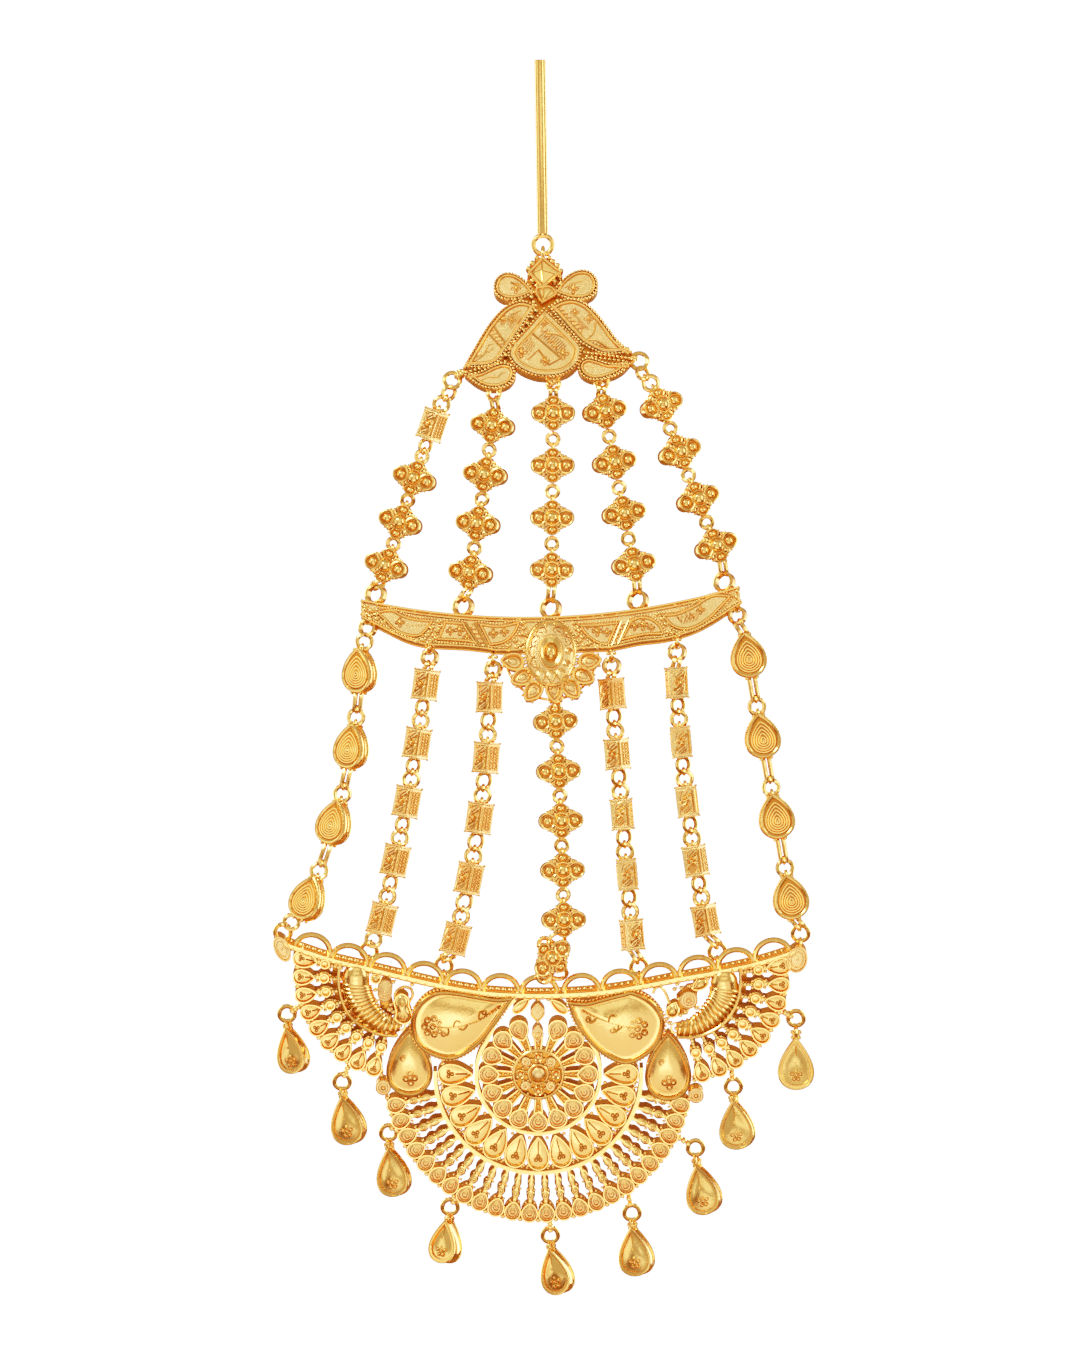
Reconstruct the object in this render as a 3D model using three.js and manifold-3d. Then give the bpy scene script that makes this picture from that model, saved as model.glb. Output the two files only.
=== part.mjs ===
// Chhapka: a gold side-hair ornament that hangs from a hair stem. A crown plate carries five strands of
// beads, a crescent bar carries seven more, and they carry a pierced fan with nine teardrop pendants.
// Millimetres, +Z up, the front faces -Y. The origin is the middle of the stem's flat top end.
import * as THREE from "three";
import { mergeVertices } from "three/addons/utils/BufferGeometryUtils.js";
import Module from "manifold-3d";

const wasm = await Module();
wasm.setup();

// ---------------------------------------------------------------------------------------------
// Driving dimensions

const WIRE = 0.28; // radius of a plate ring's wire
const JUMP_WIRE = 0.25; // radius of the wire of the jump rings in a strand
const EYE = { radius: 0.86, wire: 0.2 }; // small edge-on loop at each end of a strand or bead
const STUB = 0.24; // half width of a solder stub
const SINK = 0.15; // how far soldered pieces reach into each other

const STEM = { length: 25.4, radius: 0.83, lean: 0.9, ring: 1.36, ringWire: 0.36 };
const BAIL = { radius: 0.98, wire: 0.3 };

// Each plate hangs a little out of true: pitch tips its lower edge back, roll lowers its right end.
const CROWN = { at: [0.43, 0, -28.22], pitch: -15, roll: 0, thickness: 2.8 };
const CRESCENT = { at: [1.6, -4.5, -81.05], pitch: -12, roll: -2, thickness: 2.6 };
const FAN = { at: [-0.3, -3.0, -135.1], pitch: 14, roll: 0, thickness: 3.4 };

// Crown: leaves run from a pointed tip to a round end; wings are outlines through their corners.
const CROWN_LEAVES = [
  { name: "left petal", tip: [-0.8, -5.9], end: [-7.0, -4.1], width: 4.1 },
  { name: "right petal", tip: [1.1, -5.7], end: [7.8, -3.8], width: 4.5 },
  { name: "shield", tip: [0.3, -7.6], end: [0.4, -19.0], width: 11.0 },
  { name: "left under leaf", tip: [-11.7, -17.9], end: [-3.8, -17.6], width: 4.4 },
  { name: "right under leaf", tip: [12.7, -15.6], end: [5.2, -17.2], width: 4.2 },
];
const CROWN_TIP = [[0, -1.0], [1.9, -3.0], [0.9, -6.6], [0, -8.0], [-0.9, -6.6], [-1.9, -3.0]];
const LEFT_WING = [
  [-0.7, -7.3], [-4.1, -6.6], [-6.7, -8.3], [-8.8, -11.9], [-10.7, -15.8],
  [-12.4, -18.3], [-9.1, -17.6], [-6.7, -16.2], [-5.1, -14.3],
];
const RIGHT_WING = [
  [0.9, -7.3], [5.4, -13.0], [6.8, -14.3], [9.7, -15.2], [13.2, -15.2],
  [10.9, -12.6], [8.7, -9.7], [6.1, -7.0], [3.3, -6.3],
];
const CROWN_RINGS = {
  leftEar: { at: [-13.1, -19.1], radius: 1.1 },
  left: { at: [-7.1, -21.4], radius: 0.9, root: [-7.1, -19.4] },
  centre: { at: [1.5, -19.7], radius: 0.9 },
  right: { at: [8.5, -19.4], radius: 0.9, root: [8.3, -17.8] },
  rightEar: { at: [13.9, -16.2], radius: 1.2 },
};

// Crescent: an arc-topped bar with a round boss and a half rosette of petals below it.
const BAR = {
  topRadius: 108,
  halfLength: 27.2,
  lower: [[27.2, 1.6], [23.6, -0.6], [20.2, -2.2], [15.2, -3.7], [7.0, -4.7]],
};
const BOSS = { at: [0, -4.4], radius: 4.0, proud: 1.2 };
const ROSETTE = { petals: 7, spread: 26, reach: 6.4, petalLength: 3.4, petalWidth: 2.5 };
const TOP_RING = { radius: 1.3, count: 5, pitch: 12.6, rise: 1.2 };
const LOW_RINGS = [
  { x: 26.6, z: 0.1, radius: 1.15 },
  { x: 17.9, z: -4.1, radius: 1.15 },
  { x: 8.6, z: -5.7, radius: 1.15 },
];
const CENTRE_LOW_RING = { at: [0, -11.3], radius: 0.8 };

// Fan: a pierced plate. The middle is a wheel inside two wire rings, with a rayed wing each side.
const RAIL = { topRadius: 104.6, halfLength: 37.3 };
const ARCHES = { count: 13, pitch: 5.68, radius: 2.45, wire: 0.27, rise: 0.35, steps: 6 };
const WHEEL = { z: -12.45, hub: 3.7, inner: 9.15, outer: 15.35, ringWidth: 0.6, spokes: 16 };
const RAYS = { count: 24, spread: 6.75, from: 16.3, to: 20.2, edge: 22.9, gap: 1.5 };
const SIDE = { x: 22.0, z: 1.9, from: 8.4, to: 12.3, edge: 15.1, rays: 9, spread: 11.1, first: -9.6, gap: 2.1 };
const HORN = { outer: 7.4, inner: 3.9, from: -4, to: 88, proud: 1.3 };
const FAN_LEAVES = [
  { name: "left paisley", tip: [-3.9, -1.2], end: [-18.7, -5.9], width: 10.2, bend: 1.2 },
  { name: "right paisley", tip: [4.3, -0.9], end: [18.5, -6.6], width: 10.2, bend: -1.2 },
  { name: "left drop", tip: [-19.1, -5.4], end: [-18.9, -15.3], width: 6.4, bend: 0 },
  { name: "right drop", tip: [19.4, -5.4], end: [19.2, -16.0], width: 6.5, bend: 0 },
];
const FAN_RINGS = {
  leftEnd: { at: [-36.8, 9.1], root: [-36.6, 6.6] },
  leftOuter: { at: [-24.4, 6.3], root: [-24.4, 2.6] },
  leftInner: { at: [-13.6, 4.1], root: [-13.6, 0.6] },
  rightInner: { at: [14.6, 3.9], root: [14.6, 0.7] },
  rightOuter: { at: [25.9, 6.2], root: [25.9, 2.9] },
  rightEnd: { at: [37.9, 8.9], root: [36.9, 6.6] },
};
const FAN_RING = { radius: 1.15 };

// One row per pendant: where its ring stands on the fan's edge, and how it hangs.
const PENDANT = { length: 7.2, width: 4.9, thickness: 1.9, ring: 1.15 };
const PENDANTS = [
  { name: "pendant_1", ring: [-37.5, -2.4], root: [-35.5, -2.4], lean: 5, turn: -20 },
  { name: "pendant_2", ring: [-29.4, -12.9], root: [-28.0, -11.0], lean: 5, turn: -16 },
  { name: "pendant_3", ring: [-22.9, -20.7], root: [-20.5, -19.9], lean: 6, turn: -15 },
  { name: "pendant_4", ring: [-13.4, -32.0], root: [-12.0, -30.2], lean: -9, turn: -36 },
  { name: "pendant_5", ring: [1.5, -36.3], root: [1.4, -34.4], lean: 9, turn: -24 },
  { name: "pendant_6", ring: [13.8, -32.9], root: [12.4, -30.4], lean: 7, turn: -20 },
  { name: "pendant_7", ring: [23.3, -22.8], root: [20.5, -21.6], lean: 9, turn: -14 },
  { name: "pendant_8", ring: [29.0, -13.4], root: [28.2, -11.0], lean: 7, turn: -6 },
  { name: "pendant_9", ring: [38.1, -3.7], root: [35.8, -2.7], lean: 1, turn: 0 },
];

// Beads. A strand runs from ring to ring; its beads are spaced evenly from first to last, bowed sideways.
const BEAD = {
  flower: { halfHeight: 2.7, reach: 2.95, notch: 1.75, thickness: 2.6 },
  box: { halfHeight: 2.35, width: 3.1 },
  drop: { halfHeight: 3.25, width: 5.3, thickness: 1.7 },
};
const LINK = { flower: 0.8, box: 1.0 }; // radius of the jump ring between joined beads of a kind
const UPPER = [
  { name: "upper_strand_1", from: "leftEar", kind: "flower", first: [-18.1, -60.8], last: [-22.2, -73.4],
    count: 3, bow: 0, turn: [-10, -14], head: [-15.7, -53.1], headTurn: -32 },
  { name: "upper_strand_2", from: "left", kind: "flower", first: [-6.8, -53.2], last: [-10.0, -74.4],
    count: 4, bow: 0, turn: [-12, -16] },
  { name: "upper_strand_3", from: "centre", kind: "flower", first: [1.9, -51.6], last: [1.7, -74.0],
    count: 4, bow: 0, turn: [0, 0] },
  { name: "upper_strand_4", from: "right", kind: "flower", first: [9.3, -51.3], last: [13.5, -73.2],
    count: 4, bow: 0, turn: [14, 10] },
  { name: "upper_strand_5", from: "rightEar", kind: "flower", first: [17.5, -50.2], last: [25.4, -70.5],
    count: 4, bow: 0, turn: [22, 14] },
];
const LOWER = [
  { name: "lower_strand_1", from: 0, to: "leftEnd", kind: "drop", first: [-26.0, -88.5], last: [-33.4, -121.4],
    count: 4, bow: 1.45, turn: [-14, -14] },
  { name: "lower_strand_2", from: 1, to: "leftOuter", kind: "box", first: [-16.5, -90.6], last: [-22.8, -124.4],
    count: 5, bow: 0.45, turn: [-34, -38] },
  { name: "lower_strand_3", from: 2, to: "leftInner", kind: "box", first: [-7.3, -92.4], last: [-12.2, -127.3],
    count: 5, bow: 1.0, turn: [-36, -42] },
  { name: "lower_strand_4", from: 3, to: "arch", kind: "flower", first: [2.2, -96.3], last: [3.4, -124.5],
    count: 5, bow: 0.2, turn: [6, 6], tail: [1.7, -129.5] },
  { name: "lower_strand_5", from: 4, to: "rightInner", kind: "box", first: [10.4, -91.9], last: [13.3, -126.7],
    count: 5, bow: 0, turn: [-44, 18] },
  { name: "lower_strand_6", from: 5, to: "rightOuter", kind: "box", first: [19.7, -90.3], last: [23.9, -124.6],
    count: 5, bow: -0.55, turn: [14, -34] },
  { name: "lower_strand_7", from: 6, to: "rightEnd", kind: "drop", first: [30.0, -86.3], last: [36.1, -121.2],
    count: 4, bow: 0, turn: [4, 4] },
];

// ---------------------------------------------------------------------------------------------
// Materials

const gold = (color, roughness) => new THREE.MeshStandardMaterial({ color, roughness, metalness: 1 });
const POLISHED = gold(0xf2b65a, 0.16);
const SATIN = gold(0xe9b463, 0.36);

// ---------------------------------------------------------------------------------------------
// Solids

const { degToRad } = THREE.MathUtils;
const unite = (solids) => wasm.Manifold.union(solids);

// A closed geometry as a solid, placed by a matrix.
function solid(geometry, matrix = new THREE.Matrix4()) {
  const loose = geometry.index ? geometry.toNonIndexed() : geometry.clone();
  const bare = new THREE.BufferGeometry();
  bare.setAttribute("position", loose.getAttribute("position"));
  const merged = mergeVertices(bare.applyMatrix4(matrix), 1e-4);
  return new wasm.Manifold(new wasm.Mesh({
    numProp: 3,
    vertProperties: merged.attributes.position.array,
    triVerts: new Uint32Array(merged.index.array),
  }));
}

// The solid as a named mesh, in the frame of the group that it is added to.
function node(name, made, material, parent) {
  const { numProp, vertProperties, triVerts } = made.getMesh();
  const positions = new Float32Array((vertProperties.length / numProp) * 3);
  for (let i = 0; i < positions.length / 3; i++)
    positions.set(vertProperties.subarray(i * numProp, i * numProp + 3), i * 3);
  const geometry = new THREE.BufferGeometry();
  geometry.setAttribute("position", new THREE.BufferAttribute(positions, 3));
  geometry.setIndex(new THREE.BufferAttribute(triVerts, 1));
  geometry.computeVertexNormals();
  const mesh = new THREE.Mesh(geometry, material);
  mesh.name = name;
  parent.add(mesh);
}

// A flat outline in the XZ plane, from y = front back to y = back, placed by a matrix.
function slab(shape, front, back, matrix = new THREE.Matrix4()) {
  const geometry = new THREE.ExtrudeGeometry(shape, { depth: back - front, bevelEnabled: false });
  return solid(geometry.rotateX(Math.PI / 2).translate(0, back, 0), matrix);
}

const outline = (points) => new THREE.Shape(points.map(([x, z]) => new THREE.Vector2(x, z)));
const polar = ([x, z], radius, degrees) => [
  x + radius * Math.cos(degToRad(degrees)),
  z + radius * Math.sin(degToRad(degrees)),
];

// A teardrop from a pointed tip to a round end. bend bows it sideways.
function teardrop(tip, end, width, steps = 12, bend = 0) {
  const [dx, dz] = [tip[0] - end[0], tip[1] - end[1]];
  const length = Math.hypot(dx, dz);
  const along = [dx / length, dz / length];
  const points = [];
  for (let i = 0; i < steps; i++) {
    const t = (2 * Math.PI * i) / steps;
    const down = (1 + Math.cos(t)) / 2;
    const side = (width / 1.54) * Math.sin(t) * Math.abs(Math.sin(t / 2)) + bend * down * (1 - down) * 4;
    points.push([
      end[0] + along[0] * length * down - along[1] * side,
      end[1] + along[1] * length * down + along[0] * side,
    ]);
  }
  return outline(points);
}

// A band between two radii about a centre, over a range of degrees.
function band(centre, inner, outer, from, to, steps) {
  const at = (radius, i) => polar(centre, radius, from + ((to - from) * i) / steps);
  const range = [...Array(steps + 1).keys()];
  return outline([...range.map((i) => at(outer, i)), ...range.reverse().map((i) => at(inner, i))]);
}

// A ring of wire that faces the front, with its plane and one corner along the given direction.
function ring(at, radius, wire, up = new THREE.Vector3(0, 0, 1), segments = 8, sides = 3) {
  const geometry = new THREE.TorusGeometry(radius, wire, sides, segments).rotateX(Math.PI / 2);
  return solid(geometry, frameAt(at, up));
}

// A small loop seen edge-on.
function eye(at, matrix = new THREE.Matrix4()) {
  const geometry = new THREE.TorusGeometry(EYE.radius, EYE.wire, 3, 8).rotateY(Math.PI / 2);
  return solid(geometry.translate(at.x, at.y, at.z), matrix);
}

// A square bar between two points.
function bar(a, b, halfWidth = STUB) {
  const along = new THREE.Vector3().subVectors(b, a);
  const geometry = new THREE.BoxGeometry(2 * halfWidth, 2 * halfWidth, along.length());
  const turn = new THREE.Quaternion().setFromUnitVectors(new THREE.Vector3(0, 0, 1), along.normalize());
  const middle = new THREE.Vector3().addVectors(a, b).multiplyScalar(0.5);
  return solid(geometry, new THREE.Matrix4().compose(middle, turn, new THREE.Vector3(1, 1, 1)));
}

const inPlane = ([x, z], y = 0) => new THREE.Vector3(x, y, z);

// A frame at a point: +Z along the given direction, -Y to the front, turned about that direction.
function frameAt(position, up, turn = 0) {
  const z = up.clone().normalize();
  const y = new THREE.Vector3(0, 1, 0).addScaledVector(z, -z.y).normalize();
  const basis = new THREE.Matrix4().makeBasis(new THREE.Vector3().crossVectors(y, z), y, z);
  return basis.setPosition(position).multiply(new THREE.Matrix4().makeRotationZ(degToRad(turn)));
}

// A ring soldered on a plate's edge, on a short stub where it has a root.
function rootedRing({ at, root, radius }) {
  const centre = inPlane(at);
  const pieces = [ring(centre, radius, WIRE)];
  if (root) {
    const foot = inPlane(root);
    const reach = new THREE.Vector3().subVectors(centre, foot);
    pieces.push(bar(foot, foot.clone().addScaledVector(reach, 1 - (radius - SINK) / reach.length())));
  }
  return pieces;
}

// ---------------------------------------------------------------------------------------------
// Frames of the plates

function plateGroup({ at, pitch, roll }) {
  const group = new THREE.Group();
  group.position.set(...at);
  group.rotation.set(degToRad(pitch), degToRad(roll), 0, "YXZ");
  group.updateMatrixWorld(true);
  return group;
}

const ornament = new THREE.Group();
const crown = plateGroup(CROWN);
const crescent = plateGroup(CRESCENT);
const fan = plateGroup(FAN);
ornament.add(crown, crescent, fan);
const world = (plate, [x, z]) => inPlane([x, z]).applyMatrix4(plate.matrixWorld);

const arcHeight = (radius, x) => radius - Math.sqrt(radius * radius - x * x);

// ---------------------------------------------------------------------------------------------
// Stem: a plain round pin with a ring soldered on its lower end

function makeStem() {
  const group = new THREE.Group();
  group.rotation.y = degToRad(-STEM.lean);
  const pin = new THREE.CylinderGeometry(STEM.radius, STEM.radius, STEM.length, 16);
  pin.rotateX(Math.PI / 2).translate(0, 0, -STEM.length / 2);
  const ringAt = inPlane([0, -STEM.length - STEM.ring - STEM.ringWire + 2 * SINK]);
  const up = inPlane([0, 1]);
  node("hair_stem", unite([solid(pin), ring(ringAt, STEM.ring, STEM.ringWire, up, 16, 6)]), POLISHED, group);
  ornament.add(group);
}

// ---------------------------------------------------------------------------------------------
// Crown plate

function makeCrown() {
  const half = CROWN.thickness / 2;
  const pieces = [
    solid(new THREE.TorusGeometry(BAIL.radius, BAIL.wire, 6, 12).rotateY(Math.PI / 2)),
    slab(outline(CROWN_TIP), -half - 0.3, half),
    slab(outline(LEFT_WING), -half, half),
    slab(outline(RIGHT_WING), -half, half),
  ];
  for (const { tip, end, width } of CROWN_LEAVES) pieces.push(slab(teardrop(tip, end, width), -half, half));
  for (const row of Object.values(CROWN_RINGS)) pieces.push(...rootedRing(row));
  node("crown_plate", unite(pieces), SATIN, crown);
}

// ---------------------------------------------------------------------------------------------
// Crescent bar

function topRings() {
  const middle = (TOP_RING.count - 1) / 2;
  return [...Array(TOP_RING.count).keys()].map((i) => {
    const x = (i - middle) * TOP_RING.pitch;
    const z = arcHeight(BAR.topRadius, x);
    return { at: [x, z + TOP_RING.rise], radius: TOP_RING.radius };
  });
}

function lowRings() {
  const side = (sign) => LOW_RINGS.map(({ x, z, radius }) => ({ at: [sign * x, z], radius }));
  return [...side(-1), CENTRE_LOW_RING, ...side(1).reverse()];
}

function makeCrescent() {
  const half = CRESCENT.thickness / 2;
  const steps = 12;
  const top = [...Array(steps + 1).keys()].map((i) => {
    const x = BAR.halfLength * ((2 * i) / steps - 1);
    return [x, arcHeight(BAR.topRadius, x)];
  });
  const lower = [...BAR.lower, ...BAR.lower.map(([x, z]) => [-x, z]).reverse()];
  const disc = new THREE.Shape().absarc(...BOSS.at, BOSS.radius, 0, 2 * Math.PI);
  const pieces = [slab(outline([...top, ...lower]), -half, half), slab(disc, -half - BOSS.proud, half)];
  for (let i = 0; i < ROSETTE.petals; i++) {
    const angle = -90 + (i - (ROSETTE.petals - 1) / 2) * ROSETTE.spread;
    const end = polar(BOSS.at, ROSETTE.reach, angle);
    const tip = polar(BOSS.at, ROSETTE.reach - ROSETTE.petalLength, angle);
    pieces.push(slab(teardrop(tip, end, ROSETTE.petalWidth, 8), -half - 0.3, half));
  }
  for (const row of [...topRings(), ...lowRings()]) pieces.push(...rootedRing(row));
  node("crescent_bar", unite(pieces), SATIN, crescent);
}

// ---------------------------------------------------------------------------------------------
// Fan

// A four-cornered hole between two rays about a centre.
function rayHole(centre, from, to, degrees, gap) {
  const corners = [[from, -gap], [to, -gap * 0.7], [to, gap * 0.7], [from, gap]];
  return new THREE.Path(corners.map(([r, a]) => new THREE.Vector2(...polar(centre, r, degrees + a))));
}

function fanOutline() {
  const steps = 10;
  const railTop = [...Array(2 * steps + 1).keys()].map((i) => {
    const x = RAIL.halfLength * (i / steps - 1);
    return [x, arcHeight(RAIL.topRadius, x)];
  });
  const arc = (centre, radius, from, to, count) =>
    [...Array(count + 1).keys()].map((i) => polar(centre, radius, from + ((to - from) * i) / count));
  const right = arc([SIDE.x, SIDE.z], SIDE.edge, 12, -80, 9);
  const lower = arc([0, WHEEL.z], RAYS.edge, -9, -171, 24);
  const left = right.map(([x, z]) => [-x, z]).reverse();
  const shape = outline([...railTop, ...right, ...lower, ...left]);
  for (let i = 1; i < RAYS.count; i++) {
    const angle = -90 + (i - RAYS.count / 2) * RAYS.spread;
    shape.holes.push(rayHole([0, WHEEL.z], RAYS.from, RAYS.to, angle, RAYS.gap));
  }
  for (let i = 0; i < WHEEL.spokes; i++) {
    const angle = (360 / WHEEL.spokes) * (i + 0.5);
    shape.holes.push(rayHole([0, WHEEL.z], 4.6, 7.2, angle, 5.5));
  }
  for (const sign of [-1, 1])
    for (let i = 1; i < SIDE.rays; i++) {
      const down = SIDE.first + (i - 0.5) * SIDE.spread;
      const angle = sign > 0 ? -down : -180 + down;
      shape.holes.push(rayHole([sign * SIDE.x, SIDE.z], SIDE.from, SIDE.to, angle, SIDE.gap));
    }
  return shape;
}

function archCentres() {
  return [...Array(ARCHES.count).keys()].map((i) => {
    const x = (i - (ARCHES.count - 1) / 2) * ARCHES.pitch;
    return [x, arcHeight(RAIL.topRadius, x) + ARCHES.rise];
  });
}

function makeFan() {
  const half = FAN.thickness / 2;
  const pieces = [slab(fanOutline(), -half, half)];
  for (const at of archCentres()) {
    const slope = (Math.asin(at[0] / RAIL.topRadius) * 180) / Math.PI;
    const { radius, wire } = ARCHES;
    const arch = band(at, radius - wire, radius + wire, slope - 14, slope + 194, ARCHES.steps);
    pieces.push(slab(arch, -half + 0.2, -half + 0.2 + 2 * wire));
  }
  for (const radius of [WHEEL.inner, WHEEL.outer]) {
    const [from, to] = radius === WHEEL.inner ? [-199, 19] : [-176, -4];
    const wire = band([0, WHEEL.z], radius - WHEEL.ringWidth / 2, radius + WHEEL.ringWidth / 2, from, to, 14);
    pieces.push(slab(wire, -half - 0.35, 0));
  }
  const hub = new THREE.SphereGeometry(WHEEL.hub, 10, 4).scale(1, 0.55, 1);
  pieces.push(solid(hub.translate(0, -half, WHEEL.z)));
  for (const { tip, end, width, bend } of FAN_LEAVES)
    pieces.push(slab(teardrop(tip, end, width, 14, bend), -half - 0.9, 0));
  for (const sign of [-1, 1]) {
    const [from, to] = sign > 0 ? [-HORN.from, -HORN.to] : [-180 + HORN.from, -180 + HORN.to];
    const horn = band([sign * SIDE.x, SIDE.z], HORN.inner, HORN.outer, from, to, 7);
    pieces.push(slab(horn, -half - HORN.proud, 0));
  }
  for (const row of Object.values(FAN_RINGS))
    pieces.push(...rootedRing({ ...row, radius: FAN_RING.radius }));
  for (const { ring: at, root } of PENDANTS) pieces.push(...rootedRing({ at, root, radius: PENDANT.ring }));
  node("fan_plate", unite(pieces), SATIN, fan);
}

// ---------------------------------------------------------------------------------------------
// Pendants: each hangs by an eye from its ring on the fan

function makePendants() {
  const { length, width, thickness } = PENDANT;
  for (const { name, ring: at, lean, turn } of PENDANTS) {
    const group = new THREE.Group();
    group.position.copy(world(fan, [at[0], at[1] - PENDANT.ring]));
    group.rotation.y = degToRad(-lean);
    const shape = teardrop([0, SINK - EYE.radius], [0, -EYE.radius - length], width);
    const turned = new THREE.Matrix4().makeRotationZ(degToRad(turn));
    const body = slab(shape, -thickness / 2, thickness / 2, turned);
    node(name, unite([eye(inPlane([0, 0])), body]), POLISHED, group);
    ornament.add(group);
  }
}

// ---------------------------------------------------------------------------------------------
// Beads, each about its own centre with +Z along the strand

function flowerBead(matrix) {
  const { halfHeight, reach, notch, thickness } = BEAD.flower;
  const corner = notch * Math.SQRT1_2;
  const shape = outline([
    [reach, 0], [corner, corner], [0, halfHeight], [-corner, corner],
    [-reach, 0], [-corner, -corner], [0, -halfHeight], [corner, -corner],
  ]);
  return slab(shape, -thickness / 2, thickness / 2, matrix);
}

function boxBead(matrix) {
  const { halfHeight, width } = BEAD.box;
  return solid(new THREE.BoxGeometry(width, width, 2 * halfHeight), matrix);
}

function dropBead(matrix) {
  const { halfHeight, width, thickness } = BEAD.drop;
  const shape = teardrop([0, halfHeight], [0, -halfHeight], width);
  return slab(shape, -thickness / 2, thickness / 2, matrix);
}

const MAKE_BEAD = { flower: flowerBead, box: boxBead, drop: dropBead };

// ---------------------------------------------------------------------------------------------
// Strands

// Bead centres of a strand, with the strand's direction at each.
function beadPlaces({ first, last, count, bow, turn, head, headTurn, tail }, kind, depthAt) {
  const [dx, dz] = [last[0] - first[0], last[1] - first[1]];
  const places = [...Array(count).keys()].map((i) => {
    const s = count > 1 ? i / (count - 1) : 0;
    const x = first[0] + dx * s + bow * 4 * s * (1 - s);
    const z = first[1] + dz * s;
    return { kind, at: inPlane([x, z], depthAt(z)), lean: dx + bow * 4 * (1 - 2 * s), fall: dz,
      turn: turn[0] + (turn[1] - turn[0]) * s };
  });
  if (head) {
    const lean = first[0] - head[0];
    const at = inPlane(head, depthAt(head[1]));
    places.unshift({ kind: "box", at, lean, fall: first[1] - head[1], turn: headTurn });
  }
  if (tail) places.push({ kind, at: inPlane(tail, depthAt(tail[1])), lean: 1, fall: -1, turn: 0 });
  return places.map((p) => ({ ...p, up: new THREE.Vector3(-p.lean, 0, -p.fall).normalize() }));
}

const placeBead = ({ kind, at, up, turn }) => MAKE_BEAD[kind](frameAt(at, up, turn));
const beadEnd = ({ kind, at, up }, sign) => at.clone().addScaledVector(up, sign * (BEAD[kind].halfHeight - SINK));

// The jump ring between two ends of a strand: it sinks in the lower one, on a stub from the upper one.
function link(from, to, radius) {
  const along = new THREE.Vector3().subVectors(to, from);
  const length = along.length();
  along.normalize();
  if (length < 2 * radius + 2 * JUMP_WIRE) {
    const middle = from.clone().addScaledVector(along, length / 2);
    return [ring(middle, length / 2 - SINK / 2, JUMP_WIRE, along, 6)];
  }
  const centre = to.clone().addScaledVector(along, SINK - radius);
  const meet = centre.clone().addScaledVector(along, SINK - radius);
  return [ring(centre, radius, JUMP_WIRE, along, 6), bar(from, meet)];
}

// A strand as one solid: beads, jump rings between them and an eye at each end.
function joinedStrand(places, topEye, bottomEye, linkRadius) {
  const below = new THREE.Vector3(0, 0, -EYE.radius);
  const pieces = [eye(topEye), eye(bottomEye), bar(topEye.clone().add(below), beadEnd(places[0], 1))];
  places.forEach((place, i) => {
    if (i > 0) pieces.push(...link(beadEnd(places[i - 1], -1), beadEnd(place, 1), linkRadius));
    pieces.push(placeBead(place));
  });
  pieces.push(bar(beadEnd(places[places.length - 1], -1), bottomEye.clone().sub(below)));
  return unite(pieces);
}

// A strand of large beads: each bead with its two eyes is a piece, and so is each jump ring between them.
function looseStrand(name, places, topEye, bottomEye) {
  const eyeOf = (place, sign) => place.at.clone()
    .addScaledVector(place.up, sign * (BEAD.drop.halfHeight + EYE.radius - SINK));
  const below = new THREE.Vector3(0, 0, -EYE.radius);
  places.forEach((place, i) => {
    const pieces = [placeBead(place)];
    if (i === 0) pieces.push(eye(topEye), bar(topEye.clone().add(below), beadEnd(place, 1)));
    else pieces.push(eye(inPlane([0, 0]), frameAt(eyeOf(place, 1), place.up)));
    if (i === places.length - 1) pieces.push(eye(bottomEye), bar(beadEnd(place, -1), bottomEye.clone().sub(below)));
    else pieces.push(eye(inPlane([0, 0]), frameAt(eyeOf(place, -1), place.up)));
    node(`${name}_bead_${i + 1}`, unite(pieces), POLISHED, ornament);
  });
  for (let i = 1; i < places.length; i++) {
    const [upper, lower] = [eyeOf(places[i - 1], -1), eyeOf(places[i], 1)];
    const along = new THREE.Vector3().subVectors(upper, lower);
    const middle = lower.clone().addScaledVector(along, 0.5);
    node(`${name}_ring_${i}`, ring(middle, along.length() / 2, JUMP_WIRE, along), POLISHED, ornament);
  }
}

function makeStrands() {
  const tops = topRings();
  const lows = lowRings();
  const eyeUnder = (plate, { at, radius }) => world(plate, [at[0], at[1] - radius]);
  const eyeOver = (plate, { at, radius }) => world(plate, [at[0], at[1] + radius]);
  const depthBetween = (a, b) => (z) => a.y + ((b.y - a.y) * (z - a.z)) / (b.z - a.z);
  UPPER.forEach((row, i) => {
    const topEye = eyeUnder(crown, CROWN_RINGS[row.from]);
    const bottomEye = eyeOver(crescent, tops[i]);
    const places = beadPlaces(row, row.kind, depthBetween(topEye, bottomEye));
    node(row.name, joinedStrand(places, topEye, bottomEye, LINK.flower), POLISHED, ornament);
  });
  const arch = archCentres()[(ARCHES.count - 1) / 2];
  for (const row of LOWER) {
    const topEye = eyeUnder(crescent, lows[row.from]);
    const bottomEye = row.to === "arch"
      ? new THREE.Vector3(arch[0], -FAN.thickness / 2 + 0.2 + ARCHES.wire, arch[1] + ARCHES.radius)
        .applyMatrix4(fan.matrixWorld)
      : eyeOver(fan, { at: FAN_RINGS[row.to].at, radius: FAN_RING.radius });
    const places = beadPlaces(row, row.kind, depthBetween(topEye, bottomEye));
    if (row.kind === "drop") looseStrand(row.name, places, topEye, bottomEye);
    else node(row.name, joinedStrand(places, topEye, bottomEye, LINK[row.kind]), POLISHED, ornament);
  }
}

makeStem();
makeCrown();
makeCrescent();
makeFan();
makePendants();
makeStrands();

export default ornament;
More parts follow.
